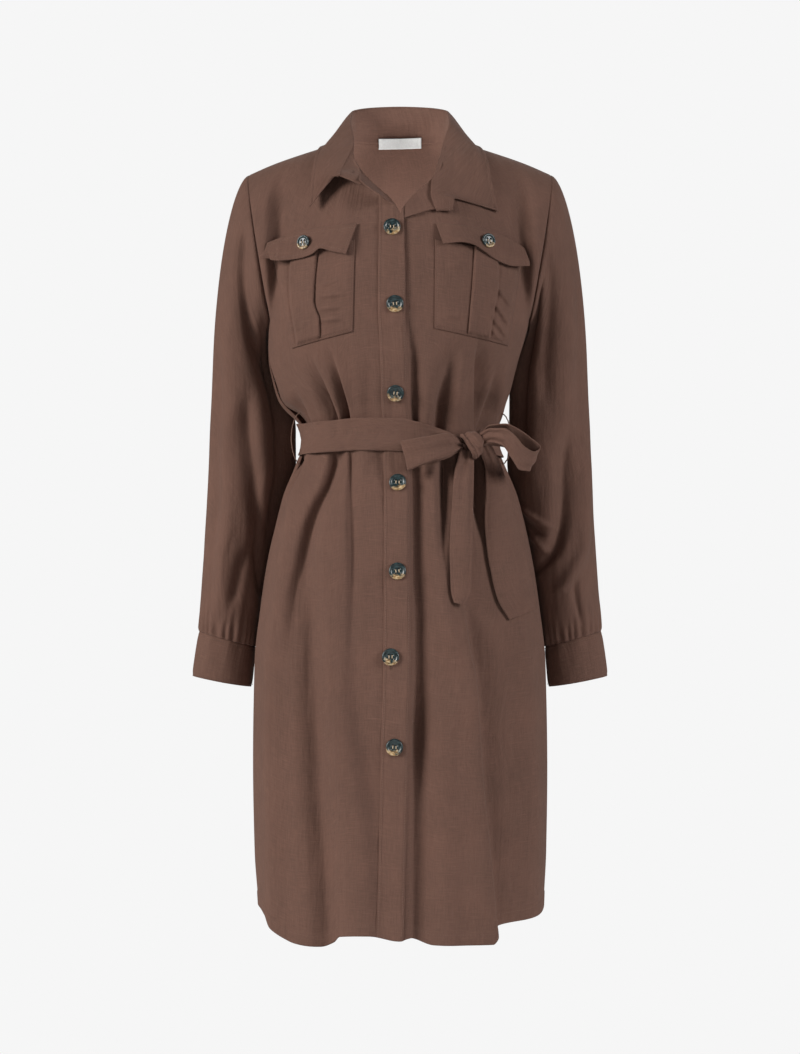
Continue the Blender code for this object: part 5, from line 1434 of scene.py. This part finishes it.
def wrinkle_height(table, x, z):
    total = np.zeros_like(x)
    for row in table:
        run = np.array([row.x2 - row.x1, row.z2 - row.z1]) * MM
        long = np.hypot(*run)
        dx, dz = x - row.x1 * MM, z - row.z1 * MM
        t = (dx * run[0] + dz * run[1]) / long**2
        off = (dx * run[1] - dz * run[0]) / long
        ends = smooth_step(t / 0.35) * smooth_step((1 - t) / 0.35)
        total += row.depth * MM * ends * bell(off, row.width * MM)
    return total


def pocket(name):
    """A patch with a box pleat, wrinkles, and a groove along its three sewn edges."""
    top_in, top_out, foot_out, foot_in = (np.array(corner) for corner in POCKETS[name])
    u, w = np.meshgrid(steps(76), steps(92))
    u3, w3 = u[..., None], w[..., None]
    flat = (1 - w3) * ((1 - u3) * foot_in + u3 * foot_out)
    flat = flat + w3 * ((1 - u3) * top_in + u3 * top_out)
    x, z = flat[..., 0], flat[..., 1]
    lines = (np.array(line, float) * MM for line in PLEATS[name])
    left, right = (through(line[:, 1], line[:, 0], z) for line in lines)
    inside = np.minimum(x - left, right - x)
    lift = PLEAT_RISE * smooth_step((inside + 0.0007) / 0.0014)
    lift = lift * np.exp(-np.maximum(inside, 0) / 0.030) - 0.0012 * bell(inside + 0.0014, 0.0012)
    near = np.minimum.reduce([u * POCKET_WIDTH, (1 - u) * POCKET_WIDTH, w * POCKET_DEPTH])
    edge = 0.0004 * (1 - smooth_step((near - POCKET_FOLD) / 0.0010))
    edge = edge - 0.0003 * bell(near - POCKET_STITCH, GROOVE)
    full = POCKET_FULLNESS * np.sin(math.pi * u) * np.sin(math.pi * w)
    rise = POCKET_OUT - POCKET_EDGE_OUT + lift + full + wrinkle_height(WRINKLES[name], x, z)
    return on_body("front", x, z, POCKET_EDGE_OUT + rise * smooth_step(near / 0.007) + edge)


def flap(name):
    """The flap lies on its pocket, stands off it towards its foot and curls there."""
    table = FLAPS[name]
    at = np.linspace(0, len(table) - 1, FLAP_COLUMNS)
    top_x, top_z, foot_x, foot_z, curl = curve(table, at).T
    t = steps(30)[:, None]
    x, z = (top_x + (foot_x - top_x) * t) * MM, (top_z + (foot_z - top_z) * t) * MM
    out = np.interp(t, steps(len(FLAP_OUT) - 1), FLAP_OUT) + curl * MM * t**2.2
    along = at / (len(table) - 1) + 0 * t
    aside = np.minimum(along, 1 - along) * FLAP_WIDTH
    inside = np.minimum(aside, (1 - t) * FLAP_DEPTH) - FLAP_STITCH
    out += 0.0003 * (1 - smooth_step(inside / 0.0014)) - 0.0002 * bell(inside, GROOVE)
    out += 0.0005 * np.sin(along * 23.0) * t * (1 - t) * 2
    grid = on_body("front", x, z, out)[::-1]
    y = grid[:, FLAP_FREE_COLUMN:, 1]
    for _ in range(BRIDGING_ROUNDS):
        y[:, 1:-1] = np.minimum(y[:, 1:-1], (y[:, :-2] + y[:, 2:]) / 2)
    return grid


def build_pockets():
    made = {}
    for name in SIDES:
        cloth_piece("pocket_" + name, pocket(name), "laid")
        made[name] = flap(name)
        cloth_piece("flap_" + name, made[name], "laid")
    return made


# ---- Belt and bow ----

BESIDE_BELT = (0.66, 0.92)  # stretch of the panels that holds the belt, as v
RING_HALF = 0.003  # half of the height over which a ring's reach is taken
KNOT_SPREAD = 22.0  # degrees to each side of the knot that it draws together
KNOT_PLEATS = 2.6
CARRIER_TWISTS = 90.0  # radians that a thread loop's strands turn
CARRIER_TWIST = 0.00022  # how far the turning takes the loop aside


def belt_radii(angles, heights):
    """How far the cloth and the bands reach out at each angle, at the heights given with it."""
    share = np.linspace(-1.0, 1.0, 361)
    v = np.linspace(*BESIDE_BELT, 120)[:, None]
    points = []
    for face in ("front", "back"):
        flat = body(face, share, v)
        x = flat[..., 0] - columns(PLACKET_EDGE, "x", np.minimum(flat[..., 2], CHEST_Z))[0]
        on_band = (x > -PLACKET_WIDTH - 0.002) & (x < 0.002) & (face == "front")
        points.append(body(face, share, v, np.where(on_band, BAND_OUT, 0.0)).reshape(-1, 3))
    x, y, level = np.concatenate(points).T
    where, size = np.arctan2(x, -y), np.hypot(x, y)
    reach = np.zeros((len(heights), len(angles)))
    for j, angle in enumerate(angles):
        off = np.abs((where - angle + math.pi) % (2 * math.pi) - math.pi) < BELT_SPAN
        near_size, near_level = size[off], level[off]
        for i in range(len(heights)):
            reach[i, j] = near_size[np.abs(near_level - heights[i, j]) < RING_HALF].max()
    return reach


def belt_edges(angle):
    degrees = np.degrees((angle + math.pi) % (2 * math.pi) - math.pi)
    return columns(BELT_EDGES, "top foot", degrees)


def build_belt_band():
    coarse = np.arange(72) * 2 * math.pi / 72
    top, foot = belt_edges(coarse)
    share = steps(4)[:, None]
    bare = belt_radii(coarse, foot + (top - foot) * share) + LAYER
    even = (np.roll(bare, 1, 1) + 2 * bare + np.roll(bare, -1, 1)) / 4
    bare = np.maximum(even, bare) + BELT_EASE
    bare[1:-1] = np.maximum(bare[1:-1], (bare[:-2] + bare[2:]) / 2)
    angle = np.arange(BELT_COLUMNS) * 2 * math.pi / BELT_COLUMNS
    top, foot = belt_edges(angle)
    to_knot = bell((np.degrees(angle) - KNOT_ANGLE + 180) % 360 - 180, KNOT_SPREAD)
    turns = np.concatenate([coarse, [2 * math.pi]])
    grid = []
    for t in steps(BELT_ROWS):
        row = [np.interp(t, share[:, 0], bare[:, j]) for j in range(len(coarse))]
        pleat = 0.0016 * to_knot * np.sin(t * KNOT_PLEATS * 2 * math.pi + 0.6)
        sag = 0.0005 * np.sin(angle * 5 + t * 3) + 0.0004 * np.sin(angle * 13 + 1.0)
        rim = 0.0004 * bell(min(t, 1 - t) * BELT_WIDTH - 0.004, 0.0010)
        radius = through(turns, row + row[:1], angle) + pleat + sag - rim + 0.0006
        grid.append(stack(radius * np.sin(angle), -radius * np.cos(angle), foot + (top - foot) * t))
    cloth_piece("belt_band", np.array(grid), "stretched", closed=True)


def ribbon(table, bow, folds=2.0):
    """A strip of cloth through rows of two edge points, bowed across, pleated where it narrows."""
    points = curve(table, np.linspace(0, len(table) - 1, 121))
    first, last = points[:, :3], points[:, 3:]
    share = steps(22)[:, None, None]
    grid = first[None] + (last - first)[None] * share
    narrow = np.linalg.norm(last - first, axis=1)[None, :]
    tight = np.clip(1.25 - narrow / 0.030, 0.0, 1.0)
    s = share[..., 0]
    height = bow * (1 - (2 * s - 1) ** 2) + 0.0017 * tight * np.sin(folds * 2 * math.pi * s + 0.8)
    height = height - 0.0003 * bell(np.minimum(s, 1 - s) * narrow - RIBBON_STITCH, GROOVE)
    return grid + grid_normals(grid) * height[..., None]


def tail(table, folds):
    """A free end: it hangs out from the skirt by the clearances of its two edges."""
    at = np.linspace(0, len(table) - 1, 150)
    x1, z1, x2, z2, clear1, clear2 = curve(table, at).T
    s = steps(26)[:, None]
    x, z = x1 + (x2 - x1) * s, z1 + (z2 - z1) * s
    tight = bell(at, 1.7)[None, :]
    out = clear1 + (clear2 - clear1) * s
    out = out + 0.0012 * tight * np.sin(folds * 2 * math.pi * s + 0.5)
    out = out + 0.0016 * np.sin(math.pi * s) * (1 - tight) + 0.0006 * np.sin(at * 2.1) * s
    from_edge = np.minimum(s, 1 - s) * np.hypot(x2 - x1, z2 - z1)
    out = out - 0.0004 * bell(from_edge - RIBBON_STITCH, 0.0010)
    return on_body("front", x, z, out, TAIL_FOLDS)


def turned(points, tilt, spin):
    """Turns local points about Y by tilt, then about Z by spin, in degrees."""
    a, b = math.radians(tilt), math.radians(spin)
    about_y = np.array([[math.cos(a), 0, math.sin(a)], [0, 1, 0], [-math.sin(a), 0, math.cos(a)]])
    about_z = np.array([[math.cos(b), -math.sin(b), 0], [math.sin(b), math.cos(b), 0], [0, 0, 1]])
    return points @ (about_z @ about_y).T


def build_knot():
    """The belt's crossing wrap: a flattened tube round the bow, folded over at its left rim."""
    angle = (np.arange(120) * 2 * math.pi / 120)[None, :]
    s = np.linspace(-1.0, 1.0, 41)[:, None]
    drawn = 1.0 - np.where(s < 0, 0.16 * np.abs(s) ** 8, 0.42 * np.abs(s) ** 2.6)
    skew = angle + 0.30 * s
    fold = 0.0009 * bell(s + 0.80, 0.10) - 0.0011 * bell(s + 0.58, 0.09)
    crease = fold + 0.0006 * np.sin(2.1 * math.pi * s + 1.3 * np.sin(skew))
    crease = crease + 0.0005 * np.sin(3 * skew + 2.0 * s)
    corner = 1.0 + 0.07 * np.cos(4 * angle + 0.5)
    deep = KNOT_RADII[0] * drawn * corner + crease
    high = KNOT_RADII[1] * drawn * corner * (1 - 0.10 * s) + crease
    x = KNOT_HALF_WIDTH * (s + 0.16 * np.sin(skew + 0.4)) * (1.0 + 0.10 * np.cos(angle))
    squarer = 0.72
    y, z = -deep * flattened(np.cos(angle), squarer), high * flattened(np.sin(angle), squarer)
    grid = turned(stack(x, y, z), KNOT_TILT, KNOT_SPIN) + np.array(KNOT_CENTRE)
    cloth_piece("belt_knot", grid, "gathered", closed=True)


def thread_curve(name, points, radius, material, nodes=()):
    data = bpy.data.curves.new(name, "CURVE")
    data.dimensions = "3D"
    data.bevel_depth = radius
    data.bevel_resolution = 2
    data.use_fill_caps = True
    spline = data.splines.new("POLY")
    spline.points.add(len(points) - 1)
    for target, point in zip(spline.points, points):
        target.co = (*point, 1.0)
    add_object(name, data, material, nodes)


def build_carrier(name, side):
    """A twisted thread loop beside the side seam that stands out over the belt."""
    share = side * CARRIER_SHARE
    low = hem_z("front", share)
    ends = (CARRIER_Z + CARRIER_HALF, CARRIER_Z - CARRIER_HALF)
    top, foot = (body("front", share, (z - low) / (CHEST_Z - low), CARRIER_OUT[side]) for z in ends)
    points = []
    for t in steps(60):
        reach = CARRIER_REACH * math.sin(math.pi * t) ** 0.5
        turn = CARRIER_TWISTS * t
        twist = CARRIER_TWIST * np.array([math.cos(turn), math.sin(turn), 0])
        points.append(top + (foot - top) * t + np.array([side * reach, -0.3 * reach, 0]) + twist)
    node = "belt_carrier_" + name
    thread_curve(node + "_thread", points, CARRIER_RADIUS, THREAD, (node,))


def build_belt():
    build_belt_band()
    build_knot()
    for name, form, grid in (
        ("bow_loop_right", "folded", ribbon(BOW_LOOP_RIGHT, 0.0010)),
        ("bow_loop_left", "folded", ribbon(BOW_LOOP_LEFT, 0.0012)),
        ("belt_tail_right", "hung", tail(TAIL_RIGHT, 1.6)),
        ("belt_tail_left", "hung", tail(TAIL_LEFT, 1.8)),
    ):
        cloth_piece(name, grid, form)
    for name, side in SIDES.items():
        build_carrier(name, side)


# ---- Buttons ----

HOLE_TURNS = [math.pi / 4 + k * math.pi / 2 for k in range(4)]
THREAD_ENDS = ((0, 3), (1, 2))  # the holes that each pair of strands joins
STRAND_RADIUS = 0.00030
STRAND_FOOT = 0.0012  # how deep the strands go into the holes
STRAND_RISE = 0.0019  # how high they rise above that
LATHE_STEPS = 56
BORE_STEPS = 14
CUFF_BUTTON_OUT = 0.0024


def button_blank(name, radius):
    """A turned disc with four holes bored through its dish."""
    shape = bmesh.new()
    outline = [(share * radius, 0.0, height * BUTTON_THICKNESS) for share, height in BUTTON_PROFILE]
    verts = [shape.verts.new(point) for point in outline]
    edges = [shape.edges.new(pair) for pair in zip(verts, verts[1:])]
    bmesh.ops.spin(shape, geom=verts + edges, cent=(0, 0, 0), axis=(0, 0, 1),
                   angle=2 * math.pi, steps=LATHE_STEPS, use_merge=True)
    bmesh.ops.remove_doubles(shape, verts=shape.verts, dist=0.00002)
    bmesh.ops.recalc_face_normals(shape, faces=shape.faces)
    drill, bore = bmesh.new(), HOLE_RADIUS * radius
    for turn in HOLE_TURNS:
        made = bmesh.ops.create_cone(drill, cap_ends=True, segments=BORE_STEPS, radius1=bore,
                                     radius2=bore, depth=0.02)
        shift = Vector((math.cos(turn), math.sin(turn), 0)) * radius * HOLE_SHARE
        bmesh.ops.translate(drill, verts=made["verts"], vec=shift)
    items = []
    for part, label in ((shape, name), (drill, name + "_drill")):
        mesh = bpy.data.meshes.new(label)
        part.to_mesh(mesh)
        part.free()
        items.append(bpy.data.objects.new(label, mesh))
        bpy.context.scene.collection.objects.link(items[-1])
    cut = items[0].modifiers.new("Holes", "BOOLEAN")
    cut.object, cut.operation, cut.solver = items[1], "DIFFERENCE", "EXACT"
    bpy.context.view_layer.update()
    evaluated = items[0].evaluated_get(bpy.context.evaluated_depsgraph_get())
    bored = bpy.data.meshes.new_from_object(evaluated)
    for item in items:
        bpy.data.objects.remove(item)
    return bored


def button_points(mesh):
    points = np.empty(len(mesh.vertices) * 3, np.float32)
    mesh.vertices.foreach_get("co", points)
    return points.reshape(-1, 3)


def marble_map(mesh, cell, turn, radius):
    """The swirl differs from button to button: each has its own cell of the pattern."""
    index = np.empty(len(mesh.loops), np.int32)
    mesh.loops.foreach_get("vertex_index", index)
    x, y, _ = (button_points(mesh)[index] / radius).T
    c, s = math.cos(turn), math.sin(turn)
    uv = 0.4 * np.stack([x * c - y * s, x * s + y * c], -1) + (3.0 * cell, 0.0)
    mesh.uv_layers.new(name="Marble").data.foreach_set("uv", uv.astype(np.float32).ravel())


def placed_points(points, centre, outward, turn):
    """Local points moved to the button's place: local +Z goes to outward."""
    facing = Vector(outward).normalized().to_track_quat("Z", "Y").to_matrix()
    spun = turned(np.array(points, float), 0, math.degrees(turn))
    return spun @ np.array(facing).T + np.array(centre)


def build_button(node, centre, outward, radius, blanks, draw):
    mesh = blanks[radius].copy()
    mesh.name = node + "_resin"
    turn = draw.uniform(-0.12, 0.12)
    marble_map(mesh, draw.randint(1, 40), turn + draw.uniform(-0.4, 0.4), radius)
    placed_at = placed_points(button_points(mesh), centre, outward, turn)
    mesh.vertices.foreach_set("co", placed_at.astype(np.float32).ravel())
    mesh.shade_smooth()
    mesh.update()
    add_object(mesh.name, mesh, RESIN, (node,))
    holes = radius * HOLE_SHARE * np.array([(math.cos(a), math.sin(a)) for a in HOLE_TURNS])
    t = steps(10)
    dish = BUTTON_PROFILE[0][1] * BUTTON_THICKNESS
    height = dish - STRAND_FOOT + STRAND_RISE * np.abs(np.sin(math.pi * t)) ** 0.45
    for first, last in THREAD_ENDS:
        x, y = (holes[first] + (holes[last] - holes[first]) * t[:, None]).T
        for strand, aside in (("a", -STRAND_RADIUS), ("b", STRAND_RADIUS)):
            path = placed_points(stack(x + aside, y, height), centre, outward, turn)
            thread_curve(f"{node}_thread_{first}{strand}", path, STRAND_RADIUS, BUTTON_THREAD)


def surface_frame(x, z, out):
    """A point over the front and the direction out of the cloth there."""
    half = 0.01
    x = x + np.array([-half, half, 0, 0])
    z = z + np.array([0, 0, half, -half])
    left, right, above, under = on_body("front", x, z, out)
    return (left + right + above + under) / 4, unit(np.cross(right - left, above - under))


def build_buttons():
    draw = random.Random(3)
    radii = (BUTTON_RADIUS, POCKET_BUTTON_RADIUS, CUFF_BUTTON_RADIUS)
    blanks = {radius: button_blank(f"blank_{radius * 10000:.0f}", radius) for radius in radii}
    for number, (z, x) in enumerate(zip(BUTTON_HEIGHTS, BUTTON_ACROSS), 1):
        spot = surface_frame(x, z, BAND_OUT + BUTTON_OUT)
        build_button(f"button_{number}", *spot, BUTTON_RADIUS, blanks, draw)
    for row in POCKET_BUTTONS:
        spot = surface_frame(row.x, row.z, FLAP_OUT[2] + BUTTON_OUT)
        build_button(row.name, *spot, POCKET_BUTTON_RADIUS, blanks, draw)
    middle, angle = CUFFS[1], math.radians(CUFF_BUTTON_ANGLE)
    half = (middle.outer - middle.inner) / 2
    for name, side in SIDES.items():
        leans = side * math.cos(angle) / half, -math.sin(angle) / middle.half_depth, 0.0
        out = unit(np.array(leans))
        centre = cuff_point(side, angle, middle.share, 0.0) + out * CUFF_BUTTON_OUT
        build_button("cuff_button_" + name, centre, out, CUFF_BUTTON_RADIUS, blanks, draw)


# ---- Label ----


def build_label():
    """A small bare woven tape sewn over the neck seam, inside the middle of the back."""
    x = np.linspace(-LABEL_WIDTH / 2, LABEL_WIDTH / 2, 53)
    neck = BACK_TOP[:3]
    back = through([row.x for row in neck], [row.y for row in neck], np.abs(x)) - 0.0020
    share = np.linspace(-0.5, 0.5, 15)[:, None]
    pucker = 0.0003 * np.sin(x * 520) * np.abs(share) + 0.0004 * bell(np.abs(x) - 0.0225, 0.0012)
    z = LABEL_Z + share * LABEL_HEIGHT + 0.0012 * x / LABEL_WIDTH
    grid = stack(x, back - 0.0006 * share + pucker, z)
    cloth_piece("neck_label", grid, "laid", TAPE, wall=LABEL_WALL)


# ---- Stitches ----

TAB_HOLE_HALF = 0.0032
BAND_HOLE = (0.0085, 0.0150)  # from the sixth button down to the ends of the hole that shows
HOLE_EDGE = 0.0007  # from a buttonhole's middle to its two rows
STITCHES = []  # eight corners each
STITCH_FACES = ((0, 1, 3), (0, 3, 2), (1, 4, 6, 3), (2, 3, 6, 5), (4, 7, 6), (5, 6, 7))


def straight(points, at, keys):
    """Points on the straight pieces between the given ones."""
    return stack(*(np.interp(at, keys, points[:, k]) for k in range(3)))


def stitch_line(points, outward, pitch=0.0030, length=0.0021, width=0.00050, height=0.00042):
    """Adds a row of small rounded stitches that lie on the cloth."""
    run = line_lengths(points)
    at = np.arange(pitch / 2, run[-1], pitch)
    near = pitch * 0.2
    middle = straight(points, at, run)
    along = unit(straight(points, at + near, run) - straight(points, at - near, run))
    number = np.linspace(0, len(points) - 1, len(middle))
    up = unit(straight(outward, number, np.arange(len(points))))
    aside = unit(np.cross(along, up))
    for m, l, w, h in zip(middle, along * length / 2, aside * width / 2, up * height):
        a, b = m - l * 0.5, m + l * 0.5
        STITCHES.append((m - l, a - w, a + w, a + h, b - w, b + w, b + h, m + l))


def grid_line(grid, edge, inset, flip=1.0):
    """A line of stitches beside one edge of a grid."""
    facing = grid_normals(grid) * flip
    axis = 0 if edge in "ns" else 1
    pick = np.argmin(np.abs(edge_distances(grid)[edge] - inset), axis=axis)
    index = np.arange(len(pick))
    where = (pick, index) if axis == 0 else (index, pick)
    stitch_line(evened(grid[where][None], 2)[0] + facing[where] * CLOTH / 2, facing[where])


def buttonhole(ends, outward):
    """A worked slit: two close rows of stitches."""
    along = unit(ends[1] - ends[0])
    aside = np.cross(along, outward)
    for way in (-HOLE_EDGE, HOLE_EDGE):
        line = ends[0] + (ends[1] - ends[0]) * steps(12)[:, None] + aside * way
        stitch_line(line, np.tile(outward, (len(line), 1)), 0.0009, 0.0008, 0.0009, 0.0008)


def stitch_buttonholes(stand):
    """The hole on the collar's open tab and the one that shows below the sixth button."""
    spots = stand[:, :-1]
    away = np.linalg.norm(spots[..., ::2] - TAB_HOLE, axis=-1)
    i, j = np.unravel_index(np.argmin(away), away.shape)
    facing = grid_normals(stand)[i, j]
    facing = facing * -np.sign(facing[1])
    half = unit(stand[i, j + 1] - stand[i, j]) * TAB_HOLE_HALF
    middle = stand[i, j] + facing * (CLOTH / 2 + 0.0001)
    buttonhole((middle - half, middle + half), facing)
    x, z = np.full(2, BUTTON_ACROSS[5]), BUTTON_HEIGHTS[5] - np.array(BAND_HOLE)
    points, outward = on_front(x, z, BAND_OUT + CLOTH / 2 + 0.0003)
    buttonhole(points, outward[0])


def stitch_bands():
    for offset, out, top in (
        (BAND_STITCH - PLACKET_WIDTH, BAND_OUT + 0.0001, 1.96),
        (-BAND_STITCH, BAND_OUT + 0.0006, 1.96),
        (0.0052, 0.0001, 1.93),
    ):
        v = np.linspace(0.003, top, 900)
        share = front_edge_share(panel_heights(v), offset)
        stitch_line(body("front", share, v, out + CLOTH / 2), normals("front", share, v))


def stitch_pocket(corners, flap_grid):
    top_in, top_out, foot_out, foot_in = (np.array(corner) for corner in corners)
    middle = (top_in + top_out + foot_out + foot_in) / 4
    for a, b in ((top_in, foot_in), (foot_in, foot_out), (foot_out, top_out)):
        line = a + (b - a) * steps(60)[:, None] + unit(middle - (a + b) / 2) * POCKET_STITCH
        stitch_line(*on_front(line[:, 0], line[:, 1], POCKET_EDGE_OUT + CLOTH / 2 + 0.0008))
    for edge in "swen":
        grid_line(flap_grid, edge, FLAP_TOP_STITCH if edge == "n" else FLAP_STITCH, -1.0)


def stitch_hem(face):
    share = np.linspace(-0.985, 0.985, 700)
    low = hem_z(face, share)
    v = (HEM_TURN - HEM_STITCH) / (CHEST_Z - low)
    stitch_line(body(face, share, v, CLOTH / 2 + 0.0003), normals(face, share, v))


def stitch_cuff(side):
    turn = np.linspace(CUFF_OPEN - 357.0, CUFF_OPEN + CUFF_OVERLAP - 3, 400)
    for share in CUFF_STITCHES:
        out = CLOTH / 2 + 0.0007 + cuff_lap(turn)
        points, above = (cuff_point(side, np.radians(turn), share + 0 * turn, height)
                         for height in (out, out + 0.002))
        stitch_line(points, unit(above - points))


def build_stitches(flaps, fall, stand):
    stitch_buttonholes(stand)
    stitch_bands()
    for name in SIDES:
        stitch_pocket(POCKETS[name], flaps[name])
    for face in ("front", "back"):
        stitch_hem(face)
    for side in (1, -1):
        stitch_cuff(side)
    grid_line(fall, "n", COLLAR_STITCH)
    faces = [tuple(k + 8 * n for k in face) for n in range(len(STITCHES)) for face in STITCH_FACES]
    mesh = bpy.data.meshes.new("seam_stitches")
    mesh.from_pydata(np.array(STITCHES).reshape(-1, 3).tolist(), [], faces)
    mesh.uv_layers.new(name="Weave")
    mesh.shade_smooth()
    add_object("seam_stitches", mesh, THREAD)


# ---- Camera, light and floor ----

CAMERA_DISTANCE = 3.4
CAMERA_Z = -0.4524
SENSOR = 24.0
PHOTO_HEIGHT = 1054 * 0.0012  # what the camera sees at the body's middle, in metres
Lamp = namedtuple("Lamp", "name place aim size power colour")
LAMPS = rows(
    Lamp,
    ("key", (-3.4, -1.9, 0.8), (0, 0, -0.58), 1.5, 170.0, (1.0, 0.985, 0.965)),
    ("fill", (3.4, -2.0, 0.8), (0, 0, -0.58), 1.5, 117.0, (0.985, 0.99, 1.0)),
    ("low", (0.2, -3.1, -1.2), (0, 0, -0.76), 1.6, 9.0, (1.0, 1.0, 1.0)),
    ("rim", (0.4, 2.6, 1.4), (0, 0, -0.40), 2.0, 26.0, (1.0, 1.0, 1.0)),
    ("inside", (0.0, -0.045, -0.15), (0, 0.085, -0.07), 0.10, 0.40, (1.0, 0.99, 0.98)),
)
WORLD_SEEN = (0.922, 0.922, 0.922, 1.0)  # colour behind the dress
WORLD_LIT = (0.98, 0.99, 1.0, 1.0)
WORLD_STRENGTH = 0.08
FLOOR_Z = -1.42
FLOOR_RADIUS = 1.35
FLOOR_COLOUR = (0.86, 0.86, 0.86)


def stage_object(name, data, place, turn=(0, 0, 0)):
    item = bpy.data.objects.new(name, data)
    item.location = place
    item.rotation_euler = turn
    bpy.context.scene.collection.objects.link(item)
    return item


def build_camera():
    camera = bpy.data.cameras.new("camera")
    camera.sensor_fit = "AUTO"
    camera.sensor_width = SENSOR
    camera.lens = SENSOR * CAMERA_DISTANCE / PHOTO_HEIGHT
    place = (0.0, -CAMERA_DISTANCE, CAMERA_Z)
    bpy.context.scene.camera = stage_object("camera", camera, place, (math.radians(90), 0, 0))


def build_light():
    for lamp in LAMPS:
        light = bpy.data.lights.new(lamp.name, "AREA")
        light.shape = "SQUARE"
        light.size = lamp.size
        light.energy = lamp.power
        light.color = lamp.colour
        turn = (Vector(lamp.aim) - Vector(lamp.place)).to_track_quat("-Z", "Y").to_euler()
        stage_object(lamp.name, light, lamp.place, turn).visible_camera = False
    world = bpy.data.worlds.new("studio")
    bpy.context.scene.world = world
    world.use_nodes = True
    tree = world.node_tree
    tree.nodes.clear()
    kinds = ("LightPath", "Background", "Background", "MixShader", "OutputWorld")
    path, seen, lit, mixed, out = (tree.nodes.new("ShaderNode" + kind) for kind in kinds)
    seen.inputs["Color"].default_value = WORLD_SEEN
    lit.inputs["Color"].default_value = WORLD_LIT
    lit.inputs["Strength"].default_value = WORLD_STRENGTH
    tree.links.new(path.outputs["Is Camera Ray"], mixed.inputs["Fac"])
    tree.links.new(lit.outputs[0], mixed.inputs[1])
    tree.links.new(seen.outputs[0], mixed.inputs[2])
    tree.links.new(mixed.outputs[0], out.inputs["Surface"])
    bpy.context.scene.view_settings.view_transform = "Standard"


def build_floor():
    shape = bmesh.new()
    bmesh.ops.create_circle(shape, cap_ends=True, segments=96, radius=FLOOR_RADIUS)
    mesh = bpy.data.meshes.new("floor")
    shape.to_mesh(mesh)
    shape.free()
    n = Nodes("pale_floor")
    grain = n.noise(n.add("TexCoord").outputs["Object"], 9.0, 4.0)
    shade = n.scaled(FLOOR_COLOUR, n.span(grain, 0.98, 1.02))
    n.surface({"Base Color": shade, "Roughness": 0.85})
    mesh.materials.append(n.material)
    stage_object("floor", mesh, (0, 0, FLOOR_Z))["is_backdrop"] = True


# ---- The whole ----

build_camera()
build_light()
build_floor()
build_panels()
build_sleeves()
stand_grid, fall_grid = build_collar()
build_facings()
flap_grids = build_pockets()
build_belt()
build_buttons()
build_label()
build_stitches(flap_grids, fall_grid, stand_grid)

boxes = {"cad": CAD_BOX, "visual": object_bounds()}
{key: [[float(c) for c in corner] for corner in box] for key, box in boxes.items()}
